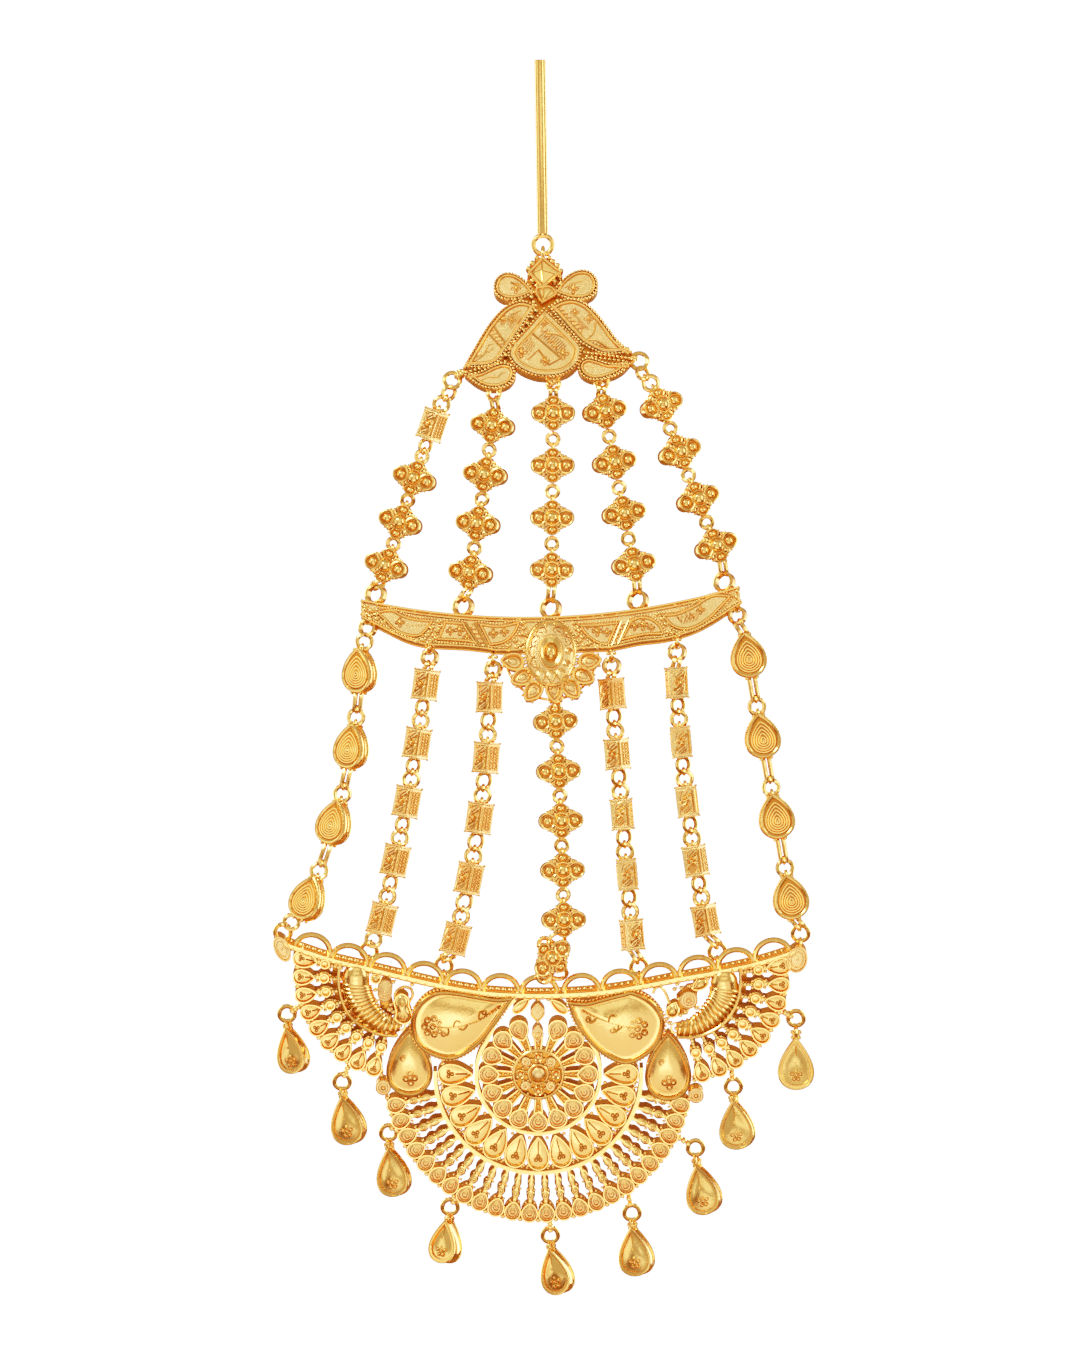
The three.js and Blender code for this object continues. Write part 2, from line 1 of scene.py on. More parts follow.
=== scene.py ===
"""Chhapka hair ornament, shown hanging from its stem: the looks, in metres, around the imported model.

All shapes are worked out in millimetres, in the frames of the three plates or of a bead, and turned into
metres when a piece is made. In a plate's frame +X is right, +Z is up and the front faces -Y.
"""
import math

import bpy
import numpy as np
from mathutils import Euler, Matrix, Vector


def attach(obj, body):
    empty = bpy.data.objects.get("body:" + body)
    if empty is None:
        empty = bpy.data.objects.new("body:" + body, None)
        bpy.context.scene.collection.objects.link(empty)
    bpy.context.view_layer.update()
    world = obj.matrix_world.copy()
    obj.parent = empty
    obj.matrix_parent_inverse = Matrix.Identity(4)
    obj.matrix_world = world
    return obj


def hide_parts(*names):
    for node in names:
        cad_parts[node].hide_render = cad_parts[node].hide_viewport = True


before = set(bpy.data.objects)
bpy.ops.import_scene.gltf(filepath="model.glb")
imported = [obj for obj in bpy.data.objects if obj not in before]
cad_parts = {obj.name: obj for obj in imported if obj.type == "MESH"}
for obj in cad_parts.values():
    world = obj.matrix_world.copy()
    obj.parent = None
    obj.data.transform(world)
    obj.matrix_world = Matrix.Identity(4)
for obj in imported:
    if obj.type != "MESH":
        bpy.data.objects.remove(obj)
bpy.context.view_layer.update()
MM = 0.001
FRONT_Y = -1.0


def table(columns, *rows):
    """Rows whose columns are named once. A row may leave out its last columns."""
    return [dict(zip(columns.split(), row)) for row in rows]


# ------------------------------------------------------------------------------------------------
# Shapes: a shape is (corners, quads, triangles), always a closed surface with its faces pointing out


def outward(corners, quads, triangles):
    """The same shape, with its faces turned over where they point in."""
    halves = np.concatenate([triangles, quads[:, [0, 1, 2]], quads[:, [0, 2, 3]]])
    a, b, c = (corners[halves[:, i]] for i in range(3))
    if np.einsum("ij,ij->i", a, np.cross(b, c)).sum() < 0:
        return corners, quads[:, ::-1], triangles[:, ::-1]
    return corners, quads, triangles


def skin(rows, first=None, last=None, loop=False):
    """Rings of points joined one to the next. first and last are the points that close its two ends."""
    rows = np.asarray(rows, float)
    count, around = rows.shape[:2]
    here = np.arange(around)
    after = (here + 1) % around
    pairs = [(i, i + 1) for i in range(count - 1)] + ([(count - 1, 0)] if loop else [])
    quads = [
        np.stack([i * around + here, i * around + after, j * around + after, j * around + here], axis=1)
        for i, j in pairs
    ]
    corners = [rows.reshape(-1, 3)]
    triangles = [np.zeros((0, 3), int)]
    for row, point, flip in ((0, first, 1), (count - 1, last, -1)):
        if point is not None:
            tip = np.full(around, sum(len(c) for c in corners))
            corners.append(np.asarray(point, float).reshape(1, 3))
            triangles.append(np.stack([tip, row * around + after, row * around + here], axis=1)[:, ::flip])
    quads = np.concatenate(quads) if quads else np.zeros((0, 4), int)
    return outward(np.concatenate(corners), quads, np.concatenate(triangles))


def merge(shapes):
    """Several shapes as one."""
    corners, quads, triangles, count = [], [], [], 0
    for c, q, t in shapes:
        corners.append(c)
        quads.append(q + count)
        triangles.append(t + count)
        count += len(c)
    return np.concatenate(corners), np.concatenate(quads), np.concatenate(triangles)


def moved(shape, matrix):
    """A shape placed by a 4 by 4 matrix, without mirroring."""
    m = np.asarray(matrix)
    return shape[0] @ m[:3, :3].T + m[:3, 3], shape[1], shape[2]


def moves(shapes, matrix):
    """Several shapes placed by one matrix."""
    return [moved(shape, matrix) for shape in shapes]


def mirrored(shape, axis=0):
    """A shape mirrored across the plane at 0 on an axis."""
    corners = shape[0].copy()
    corners[:, axis] *= -1
    return corners, shape[1][:, ::-1], shape[2][:, ::-1]


def copies(shape, points):
    """A small shape repeated at each point."""
    points = np.asarray(points, float)
    offsets = np.arange(len(points))[:, None, None] * len(shape[0])
    return (
        (points[:, None, :] + shape[0][None]).reshape(-1, 3),
        (shape[1][None] + offsets).reshape(-1, 4),
        (shape[2][None] + offsets).reshape(-1, 3),
    )


def at(x=0.0, z=0.0, y=0.0, turn=0.0, size=1.0):
    """A place in a plate's plane: turned by degrees, anticlockwise from the front."""
    c, s = math.cos(math.radians(turn)) * size, math.sin(math.radians(turn)) * size
    return np.array([[c, 0, -s, x], [0, size, 0, y], [s, 0, c, z], [0, 0, 0, 1.0]])


def polar(radius, degrees, centre=(0.0, 0.0)):
    a = math.radians(degrees)
    return centre[0] + radius * math.cos(a), centre[1] + radius * math.sin(a)


# ------------------------------------------------------------------------------------------------
# Outlines: arrays of (x, z), anticlockwise from the front


def angles(count):
    """Even steps once round a circle."""
    return np.arange(count) * 2 * math.pi / count


def directions(points, closed=True):
    """The unit direction of a curve at each of its points."""
    p = np.asarray(points, float)
    along = np.roll(p, -1, axis=0) - np.roll(p, 1, axis=0) if closed else np.gradient(p, axis=0)
    return along / np.linalg.norm(along, axis=1, keepdims=True)


def area(outline):
    """Twice the area of an outline, above 0 when it runs anticlockwise."""
    x, z = outline.T
    return (x * np.roll(z, -1) - z * np.roll(x, -1)).sum()


def circle(radius, count=24, squash=1.0):
    a = angles(count)
    return np.stack([radius * np.cos(a), radius * squash * np.sin(a)], axis=1)


def teardrop(length, width, count=32, belly=1.0):
    """A drop with its tip at the top and its middle at 0. A lower belly makes its sides fuller."""
    t = angles(count)
    side = np.sin(t) * np.abs(np.sin(t / 2)) ** belly
    return np.stack([-side / side.max() * width / 2, np.cos(t) * length / 2], axis=1)


def smooth(points, steps=6, closed=True):
    """A soft curve through points. A point given twice is a sharp corner."""
    p = np.asarray(points, float)
    n = len(p)
    out = []
    for i in range(n if closed else n - 1):
        index = [(i + k) % n if closed else min(max(i + k, 0), n - 1) for k in (-1, 0, 1, 2)]
        a, b, c, d = p[index]
        if np.allclose(b, c):
            continue
        t = (np.arange(steps) / steps)[:, None]
        out.append(
            0.5 * (2 * b + (c - a) * t + (2 * a - 5 * b + 4 * c - d) * t**2 + (3 * b - a - 3 * c + d) * t**3)
        )
    if not closed:
        out.append(p[-1:])
    return np.concatenate(out)


def inside(outline, place):
    """An outline moved by a place in its own plane."""
    x, z = np.asarray(outline, float).T
    p = np.stack([x, np.zeros(len(x)), z, np.ones(len(x))], axis=1) @ np.asarray(place).T
    return p[:, [0, 2]]


def evenly(points, spacing, closed=True):
    """Points at an even spacing along a curve."""
    p = np.asarray(points, float)
    if closed:
        p = np.concatenate([p, p[:1]])
    along = np.concatenate([[0], np.cumsum(np.linalg.norm(np.diff(p, axis=0), axis=1))])
    count = max(2, round(along[-1] / spacing))
    wanted = np.linspace(0, along[-1], count, endpoint=False) if closed else np.linspace(0, along[-1], count)
    return np.stack([np.interp(wanted, along, p[:, i]) for i in range(p.shape[1])], axis=1)


# ------------------------------------------------------------------------------------------------
# Goldsmith's forms


def flat(points, y=0.0):
    """(x, z) points lifted into space at one depth."""
    points = np.asarray(points, float)
    return np.stack([points[:, 0], np.full(len(points), y), points[:, 1]], axis=1)


def relief(outline, profile, back, centre=None):
    """A solid with straight walls. profile is (scale, height) from its edge to its middle."""
    outline = np.asarray(outline, float)
    middle = outline.mean(axis=0) if centre is None else np.asarray(centre, float)
    levels = [(1.0, back)] + [(s, FRONT_Y * h) for s, h in profile]
    rows = [flat(middle + (outline - middle) * scale, y) for scale, y in levels]
    ends = [(middle[0], back, middle[1]), (middle[0], FRONT_Y * profile[-1][1], middle[1])]
    return skin(rows, *ends)


def tube(path, radius, sides=6, closed=False, up=(0, 1, 0)):
    """Wire along a path of (x, y, z), round or tapered. up is never along the path."""
    p = np.asarray(path, float)
    along = directions(p, closed)
    side = np.cross(along, np.asarray(up, float))
    side /= np.linalg.norm(side, axis=1, keepdims=True)
    over = np.cross(side, along)
    a = angles(sides)
    r = np.broadcast_to(np.asarray(radius, float), len(p))[:, None, None]
    spokes = side[:, None] * np.cos(a)[None, :, None] + over[:, None] * np.sin(a)[None, :, None]
    rows = p[:, None] + r * spokes
    return skin(rows, loop=True) if closed else skin(rows, first=p[0], last=p[-1])


def wire(outline, radius, y=0.0, closed=True, sides=6):
    return tube(flat(outline, y), radius, sides, closed)


def ring(radius, thick, count=20, sides=8, edge_on=False):
    """A ring of wire round 0, facing the front or edge-on to it."""
    a = angles(count)
    zero = np.zeros(count)
    c, s = radius * np.cos(a), radius * np.sin(a)
    if edge_on:
        return tube(np.stack([zero, c, s], axis=1), thick, sides, True, up=(1, 0, 0))
    return tube(np.stack([c, zero, s], axis=1), thick, sides, True)


def tube_ring(radius, thick, depth, count=26):
    """A short length of tube that faces the front, with a rounded lip at both ends."""
    d = depth / 2
    section = [
        (-thick, -d), (0, -d - thick * 0.7), (thick, -d), (thick, d), (0, d + thick * 0.7), (-thick, d),
    ]
    rows = [flat(circle(radius + r, count), y) for r, y in section]
    return skin(np.transpose(rows, (1, 0, 2)), loop=True)


def ball(radius, around=8, rows=4, squash=1.0):
    """A granule: a small sphere, flattened front to back by squash."""
    lat = (np.arange(1, rows) / rows - 0.5) * math.pi
    lon = angles(around)
    rings = [
        np.stack(
            [np.cos(t) * np.cos(lon), np.full(around, -math.sin(t) * squash), np.cos(t) * np.sin(lon)],
            axis=1,
        )
        for t in lat
    ]
    return skin(np.array(rings) * radius, (0, squash * radius, 0), (0, -squash * radius, 0))


GRANULE = ball(1.0, 7, 4)


def granules(points, radius, y=0.0, spacing=None, closed=True):
    """Solder balls at (x, z) points, or at an even spacing along them."""
    if spacing:
        points = evenly(points, spacing, closed)
    corners, quads, triangles = GRANULE
    return copies((corners * radius, quads, triangles), flat(points, y))


def dome_profile(height, foot=0.0, steps=6):
    """A round dome over the whole outline."""
    a = np.linspace(0, math.pi / 2, steps + 1)[:-1]
    return [(math.cos(t), foot + height * math.sin(t)) for t in a] + [(0.02, foot + height)]


def dish_profile(rim, floor, crown, steps=6):
    """A flat rim's inner edge, then a floor that swells to a low crown in its middle."""
    inner = np.linspace(1, 0, steps + 1)[1:]
    return [(1.0, rim), (0.93, rim), (0.88, floor)] + [
        (0.88 * s + 0.005, floor + (crown - floor) * math.cos(s * math.pi / 2)) for s in inner
    ]


# ------------------------------------------------------------------------------------------------
# Materials


def connect(tree, node, inputs):
    """Sets each input of a node to a number or a colour, or joins it to another node's output."""
    for name, value in inputs.items():
        if isinstance(value, bpy.types.NodeSocket):
            tree.links.new(value, node.inputs[name])
        else:
            node.inputs[name].default_value = value


def add_node(tree, kind, inputs=None, **settings):
    node = tree.nodes.new("ShaderNode" + kind)
    for name, value in settings.items():
        setattr(node, name, value)
    connect(tree, node, inputs or {})
    return node


def gold(name, colour, shade, roughness, spread, grain, grain_depth, scratch_depth=0.0):
    """Yellow gold. Its colour drifts between two alloys, its polish varies, and its skin has a fine grain."""
    material = bpy.data.materials.new(name)
    material.use_nodes = True
    tree = material.node_tree
    place = add_node(tree, "TexCoord").outputs["Object"]

    def noise(scale, detail, rough=0.5, vector=place):
        inputs = {"Scale": scale, "Detail": detail, "Roughness": rough, "Vector": vector}
        return add_node(tree, "TexNoise", inputs).outputs["Fac"]

    def spread_over(value, low, high):
        inputs = {"From Min": 0.3, "From Max": 0.7, "To Min": low, "To Max": high, "Value": value}
        return add_node(tree, "MapRange", inputs).outputs["Result"]

    colours = {"A": (*colour, 1), "B": (*shade, 1), "Factor": spread_over(noise(420, 3), 0, 1)}
    mix = add_node(tree, "Mix", colours, data_type="RGBA")
    height = spread_over(noise(grain, 5, 0.6), 0, 1)
    bump = add_node(tree, "Bump", {"Distance": grain_depth * MM, "Height": height})
    if scratch_depth:
        stretch = add_node(tree, "Mapping", {"Scale": (1, 1, 9), "Vector": place}).outputs["Vector"]
        lines = noise(1500, 2, vector=stretch)
        hairlines = add_node(tree, "Bump", {"Distance": scratch_depth * MM, "Height": lines})
        connect(tree, bump, {"Normal": hairlines.outputs["Normal"]})
    connect(tree, tree.nodes["Principled BSDF"], {
        "Metallic": 1.0,
        "Base Color": mix.outputs["Result"],
        "Roughness": spread_over(noise(900, 4), roughness, roughness + spread),
        "Normal": bump.outputs["Normal"],
    })
    return material


POLISHED = gold("bright_gold", (1.0, 0.58, 0.155), (1.0, 0.52, 0.125), 0.12, 0.08, 1800, 0.008, 0.004)
# Satin sheet: its rougher polish and grain are the real finish, and its paler colour is painted light, a lit
# copy of the gold.
SATIN_PAINTED_LIGHT = gold("satin_sheet_painted_light", (1.0, 0.64, 0.23), (1.0, 0.57, 0.175), 0.22, 0.12, 5200, 0.02)
# Painted shade: a darker, redder copy of the gold, put in grooves, hollows, backings and gaps between parts,
# where shade falls.
PAINTED_SHADE = gold("painted_shade_gold", (0.72, 0.26, 0.03), (0.55, 0.17, 0.015), 0.24, 0.16, 2600, 0.02)


# ------------------------------------------------------------------------------------------------
# Pieces


def add_object(name, data):
    """A new object in the scene."""
    made = bpy.data.objects.new(name, data)
    bpy.context.collection.objects.link(made)
    return made


def piece(name, shapes, matrix=None, body="pendant", stands_for=(), sharp=38):
    """One object of gold parts: shapes maps a material to a list of shapes in millimetres."""
    mesh = bpy.data.meshes.new(name)
    built = [(material, merge(parts)) for material, parts in shapes.items() if parts]
    whole = merge([shape for _, shape in built])
    corners, quads, triangles = whole if matrix is None else moved(whole, matrix)
    mesh.vertices.add(len(corners))
    mesh.vertices.foreach_set("co", (corners * MM).astype(np.float32).ravel())
    mesh.loops.add(quads.size + triangles.size)
    mesh.loops.foreach_set(
        "vertex_index", np.concatenate([quads.ravel(), triangles.ravel()]).astype(np.int32),
    )
    mesh.polygons.add(len(quads) + len(triangles))
    starts = np.concatenate([np.arange(len(quads)) * 4, quads.size + np.arange(len(triangles)) * 3])
    mesh.polygons.foreach_set("loop_start", starts.astype(np.int32))
    for material, _ in built:
        mesh.materials.append(material)
    slots = [np.full(len(shape[kind]), i) for kind in (1, 2) for i, (_, shape) in enumerate(built)]
    mesh.polygons.foreach_set("material_index", np.concatenate(slots).astype(np.int32))
    mesh.polygons.foreach_set("use_smooth", np.ones(len(mesh.polygons), bool))
    mesh.update(calc_edges=True)
    mesh.validate()
    mesh.set_sharp_from_angle(angle=math.radians(sharp))
    made = add_object(name, mesh)
    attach(made, body)
    if stands_for:
        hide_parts(*stands_for)
    return made


def gather(*sets):
    """Several dictionaries of shapes as one."""
    out = {}
    for made in sets:
        for material, shapes in made.items():
            out.setdefault(material, []).extend(shapes)
    return out


def placed(made, matrix):
    return {material: [moved(s, matrix) for s in shapes] for material, shapes in made.items()}


def plate_frame(origin, pitch, roll=0.0):
    """A plate's place: pitch tips its lower edge back, and roll lowers its right end, in degrees."""
    turn = Euler((math.radians(pitch), math.radians(roll), 0), "XYZ").to_matrix().to_4x4()
    return np.array(Matrix.Translation(Vector(origin)) @ turn)


CROWN = plate_frame((0.43, 0, -28.22), -15)
CRESCENT = plate_frame((1.6, -4.5, -81.05), -12, -2)
FAN = plate_frame((-0.3, -3.0, -135.1), 14)


def to_world(plate, x, z, y=0.0):
    return (plate @ np.array([x, y, z, 1.0]))[:3]


# ------------------------------------------------------------------------------------------------
# Beads: made once round their own middle with +Z along the strand, then placed along the strands


def stamp(spots, radius, y):
    """Small stamped circles: a groove ring in painted-shade gold round a bright granule. Gives the grooves
    and the granules.
    """
    grooves = [moved(ring(radius, radius * 0.16, 14, 5), at(*spot, y)) for spot in spots]
    return grooves, [granules(spots, radius * 0.74, y - radius * 0.12)]


def flower_bead():
    """Four lobes round a dome: cups with a hollow middle left and right, plain domes above and below."""
    # The dark rings in the cups and round the dome, and the web behind, are painted shade in the darker gold.
    front, dark = [], []
    for x in (-1.98, 1.98):
        face = [(1, 0.8), (0.95, 0.98), (0.84, 1.02), (0.74, 0.95), (0.68, 0.6), (0.02, 0.6)]
        front.append(moved(relief(circle(1.26, 22), face, -0.02), at(x, 0)))
        front.append(moved(relief(circle(0.66, 16), dome_profile(0.45, 0.65, 5), -0.02), at(x, 0)))
        dark.append(moved(ring(0.8, 0.12, 16, 6), at(x, 0, -0.66)))
    for z in (-1.78, 1.78):
        face = [(1, 0.5), (0.95, 0.7), (0.78, 0.72), (0.72, 0.45), (0.02, 0.45)]
        front.append(moved(relief(circle(1.0, 18, 0.8), face, -0.02), at(0, z)))
        front.append(moved(relief(circle(0.6, 14, 0.8), dome_profile(0.45, 0.5, 4), -0.02), at(0, z)))
        dark.append(moved(wire(circle(0.7, 14, 0.8), 0.11, -0.52), at(0, z)))
    front.append(relief(circle(0.98, 22), dome_profile(0.85, 0.85, 6), -0.02))
    front.append(moved(ring(1.12, 0.13, 22, 6), at(y=-0.85)))
    dark.append(moved(ring(1.32, 0.16, 22, 6), at(y=-0.6)))
    for x in (-1, 1):
        for z in (-1, 1):
            front.append(granules([(1.32 * x, 1.3 * z)], 0.42, -0.5))
            front.append(
                granules([(0.88 * x, 1.0 * z), (0.98 * x, 1.85 * z), (1.85 * x, 1.28 * z)], 0.27, -0.6)
            )
    web = [(2.6, 0), (1.35, 1.2), (0, 2.4), (-1.35, 1.2), (-2.6, 0), (-1.35, -1.2), (0, -2.4), (1.35, -1.2)]
    plate = relief(web, [(1.0, 0.3)], 0.3)
    return {POLISHED: merge(front + [mirrored(f, 1) for f in front]),
            PAINTED_SHADE: merge([plate] + dark + [mirrored(d, 1) for d in dark])}


def box_bead():
    """A square tube with wired ends. Two sides are chased with a lattice, and two have rows of granules."""
    side, tall, wall = 1.38, 2.25, 0.11
    square = np.array([(side, -side), (side, side), (-side, side), (-side, -side)]) * 0.98
    loop = smooth(np.repeat(square, 2, axis=0), 4)
    levels = ((1.0, -tall), (1.0, tall), (0.8, tall), (0.74, tall - 0.25))
    rows = [np.insert(loop * s, 2, z, axis=1) for s, z in levels]
    parts = [skin(rows, (0, 0, -tall), (0, 0, tall - 0.3))]
    for z in (-tall + 0.18, -tall + 0.55, tall - 0.18, tall - 0.55):
        thick = wall if abs(z) > tall - 0.3 else 0.07
        parts.append(tube(np.insert(loop, 2, z, axis=1), thick, 6, True, up=(0, 0, 1)))
    corners = [(x, z) for x in (-side + 0.12, side - 0.12) for z in (-tall + 0.1, tall - 0.1)]
    leaf = smooth([(-0.95, -1.7), (0.35, -1.55), (0.75, -0.3), (-0.6, -0.5)], 5)
    leaves = [leaf, -leaf]
    veins = [
        [(-0.9, -1.0), (0.4, -0.55)], [(-0.2, -1.7), (0.6, -1.0)], [(0.9, 1.0), (-0.4, 0.55)],
        [(-0.75, -1.2), (0.3, -0.4)], [(-0.5, -1.5), (0.5, -0.75)], [(0.75, 1.2), (-0.3, 0.4)],
        [(0.5, 1.5), (-0.5, 0.75)],
    ]
    bright = [[wire(l, 0.09, -side - 0.02, True, 5) for l in leaves]]
    bright[0] += [granules([(0, 0)], 0.36, -side), granules(corners, 0.19, -side)]
    bright[0].append(granules([(0.85, -1.45), (-0.85, 1.45), (0.8, 0.1), (-0.8, -0.1)], 0.2, -side))
    # The veins and the lines between the granule rows are painted shade in the darker gold; the square body
    # is the paler satin gold, painted light.
    dark = [[wire(v, 0.11, -side + 0.01, False, 5) for v in veins]]
    dark[0].append(wire([(1.08, -1.6), (1.08, 1.6)], 0.15, -side + 0.03, False, 5))
    dark[0].append(wire(circle(0.5, 12), 0.13, -side + 0.02, True, 5))
    columns = [granules(evenly([(x, -1.5), (x, 1.5)], 0.4, False), 0.15, -side) for x in (-0.5, 0.5)]
    bright.append(
        columns + [granules(corners, 0.17, -side), granules([(0, -0.9), (0, 0), (0, 0.9)], 0.2, -side)]
    )
    bright[1] += [wire([(x, -1.7), (x, 1.7)], 0.07, -side, False, 5) for x in (-1.02, 1.02)]
    dark.append([wire([(x, -1.6), (x, 1.6)], 0.13, -side + 0.02, False, 5) for x in (-0.78, 0.0, 0.78)])
    made = {SATIN_PAINTED_LIGHT: parts, POLISHED: [], PAINTED_SHADE: []}
    for quarter in range(4):
        turned = np.array(Matrix.Rotation(quarter * math.pi / 2, 4, "Z"))
        made[POLISHED].append(moved(merge(bright[quarter % 2]), turned))
        made[PAINTED_SHADE].append(moved(merge(dark[quarter % 2]), turned))
    return {finish: merge(shapes) for finish, shapes in made.items()}


def drop_bead():
    """A flat drop of wire loops, one inside another round an off-centre eye, the same on both faces."""
    half, turns = 0.9, 6
    outline = teardrop(6.5, 5.0, 56, 0.66)
    eye = np.array((0.0, -0.75))
    swell = [
        (1.0, half - 0.14), (0.96, half - 0.12),
    ] + [(s, half - 0.1 + 0.1 * (1 - s * s)) for s in (0.8, 0.6, 0.4, 0.2, 0.02)]
    floor = [wire(outline * 0.84, 0.14, -half + 0.1, True, 5), relief(outline, swell, 0.01, eye)]
    coils = []
    for i in range(1, turns):
        s = 0.82 * (1 - i / turns)
        coils.append(wire(eye + (outline - eye) * s, 0.15, -half + 0.05 - 0.1 * (1 - s * s), True, 6))
    seam = [(0.1, z) for z in (-1.35, -1.75, -2.15, -2.55)]
    floor.append(granules(seam + [(0, 2.3)], 0.13, -half + 0.02))
    rim = [wire(outline * 0.93, 0.3, -half + 0.14, True, 9), granules([eye], 0.3, -half - 0.08)]
    rim.append(granules([(-0.72, 2.95), (0.72, 2.95), (-0.75, -3.3), (0.75, -3.3)], 0.3, -half + 0.3))
    walls = [granules(outline * 0.985, 0.13, y, 0.42) for y in (-0.35, 0.35)]
    walls.append(wire(outline * 1.0, 0.12, 0.0, True, 6))
    # The floor and its inner wire are painted shade in the darker gold; the rim, the coils and the granules
    # are bright gold.
    both = {PAINTED_SHADE: floor, POLISHED: rim + coils}
    both = {finish: merge(s + [mirrored(f, 1) for f in s]) for finish, s in both.items()}
    both[POLISHED] = merge([both[POLISHED]] + walls)
    return both


FLOWER, BOX, DROP = flower_bead(), box_bead(), drop_bead()


def along_strand(point, up, turn=0.0):
    """A place with +Z along the strand and its front towards -Y, turned about the strand by degrees."""
    z = Vector(up).normalized()
    y = (Vector((0, 1, 0)) - z * z.y).normalized()
    basis = Matrix((y.cross(z), y, z)).transposed().to_4x4()
    return np.array(Matrix.Translation(Vector(point)) @ basis @ Matrix.Rotation(math.radians(turn), 4, "Z"))


# ------------------------------------------------------------------------------------------------
# Camera, light and floor

CAMERA = {"distance": 1.1, "height": -0.0892, "across": 0.0, "view_width": 0.1566}
FLOOR = {"z": -0.9, "front_y": -2.2, "back_y": 0.7, "half_width": 2.0}
CARD = {"y": 0.7, "bend": 0.3, "top": 1.6}
PAPER = {"white": 1.75, "bounce": (0.36, 0.13, 0.02, 1)}
SKY = {"colour": (1.0, 0.86, 0.62, 1), "strength": 0.42}


def add_camera():
    data = bpy.data.cameras.new("camera")
    data.sensor_fit = "HORIZONTAL"
    data.sensor_width = 36
    data.lens = 36 * CAMERA["distance"] / CAMERA["view_width"]
    data.clip_start = 0.01
    camera = add_object("camera", data)
    camera.location = (CAMERA["across"], -CAMERA["distance"], CAMERA["height"])
    camera.rotation_euler = (math.pi / 2, 0, 0)
    bpy.context.scene.camera = camera


def split_by_ray(tree, output, others, camera):
    """One shader for the camera's own rays, and another for all the others."""
    ray = add_node(tree, "LightPath").outputs["Is Camera Ray"]
    mix = add_node(tree, "MixShader", {"Fac": ray, 1: others.outputs[0], 2: camera.outputs[0]})
    connect(tree, tree.nodes[output], {"Surface": mix.outputs[0]})


def paper_material():
    """White where the camera sees it, and a warm brown where the metal mirrors it."""
    material = bpy.data.materials.new("studio_paper")
    material.use_nodes = True
    tree = material.node_tree
    shader = tree.nodes["Principled BSDF"]
    connect(tree, shader, {"Base Color": PAPER["bounce"], "Roughness": 0.9})
    split_by_ray(tree, "Material Output", shader, add_node(tree, "Emission", {"Strength": PAPER["white"]}))
    return material


def add_paper(name, line, material):
    """A sheet of studio paper: a line in the YZ plane, swept across the whole width."""
    half = FLOOR["half_width"]
    corners = [(x, y, z) for y, z in line for x in (-half, half)]
    faces = [(2 * i, 2 * i + 1, 2 * i + 3, 2 * i + 2) for i in range(len(line) - 1)]
    mesh = bpy.data.meshes.new(name)
    mesh.from_pydata(corners, [], faces)
    mesh.shade_smooth()
    mesh.materials.append(material)
    sheet_of_paper = add_object(name, mesh)
    return sheet_of_paper


def add_floor():
    """A pale floor, and a card behind that only the metal sees, so that no view is hidden by it."""
    material = paper_material()
    z, bend = FLOOR["z"], CARD["bend"]
    add_paper("floor", [(FLOOR["front_y"], z), (FLOOR["back_y"], z)], material)
    turns = [math.pi / 2 * i / 12 for i in range(13)]
    line = [(CARD["y"] - bend + bend * math.sin(a), z + 0.001 + bend * (1 - math.cos(a))) for a in turns]
    card = add_paper("back_card", line + [(CARD["y"], CARD["top"])], material)
    card.visible_camera = False


# Each softbox: its middle, its width and height in metres, and how bright its face is
FILM = {"white": 1.7, "rise": 1.9}
LIGHTS = table(
    "name at size glow",
    ("key", (-0.7, -0.8, 0.65), (0.3, 0.35), 14.0), ("fill", (0.9, -0.6, 0.1), (0.3, 0.9), 3.6),
    ("front", (0.05, -1.0, 0.45), (0.8, 0.45), 0.6), ("under", (0.0, -0.64, -0.62), (1.0, 0.62), 0.8),
    ("under_core", (-0.06, -0.66, -0.5), (0.3, 0.16), 1.6),
    ("behind_camera", (0.0, -1.7, -0.1), (1.0, 0.4), 0.85),
    ("left", (-0.95, -0.42, -0.05), (0.45, 0.9), 0.85), ("left_rim", (-0.5, 0.3, 0.0), (0.15, 0.8), 4.5),
    ("right_rim", (0.5, 0.3, 0.0), (0.15, 0.8), 4.5), ("back_left", (-0.62, 0.6, -0.1), (0.5, 0.6), 0.9),
    ("back_right", (0.62, 0.6, -0.1), (0.5, 0.6), 0.9),
)


def add_lights():
    middle = Vector((0, 0, CAMERA["height"]))
    for row in LIGHTS:
        data = bpy.data.lights.new(row["name"], "AREA")
        data.shape = "RECTANGLE"
        data.size, data.size_y = row["size"]
        data.energy = row["glow"] * math.pi * data.size * data.size_y
        light = add_object(row["name"], data)
        light.location = row["at"]
        light.visible_camera = False
        light.rotation_euler = (middle - light.location).to_track_quat("-Z", "Y").to_euler()
    world = bpy.data.worlds.new("studio")
    bpy.context.scene.world = world
    world.use_nodes = True
    tree = world.node_tree
    sky = tree.nodes["Background"]
    connect(tree, sky, {"Color": SKY["colour"], "Strength": SKY["strength"]})
    white = add_node(tree, "Background", {"Color": (1, 1, 1, 1), "Strength": PAPER["white"]})
    split_by_ray(tree, "World Output", sky, white)
    # A camera film's soft shoulder, so that strong reflections fade to white instead of clipping to yellow
    view = bpy.context.scene.view_settings
    view.view_transform = "Standard"
    view.use_curve_mapping = True
    film = view.curve_mapping
    film.white_level = (FILM["white"],) * 3
    for share in (0.07, 0.15, 0.3, 0.6):
        level = [1 - math.exp(-FILM["rise"] * FILM["white"] * s) for s in (share, 1)]
        film.curves[3].points.new(share, level[0] / level[1])
    film.update()


add_camera()
add_floor()
add_lights()


# ------------------------------------------------------------------------------------------------
# Strands

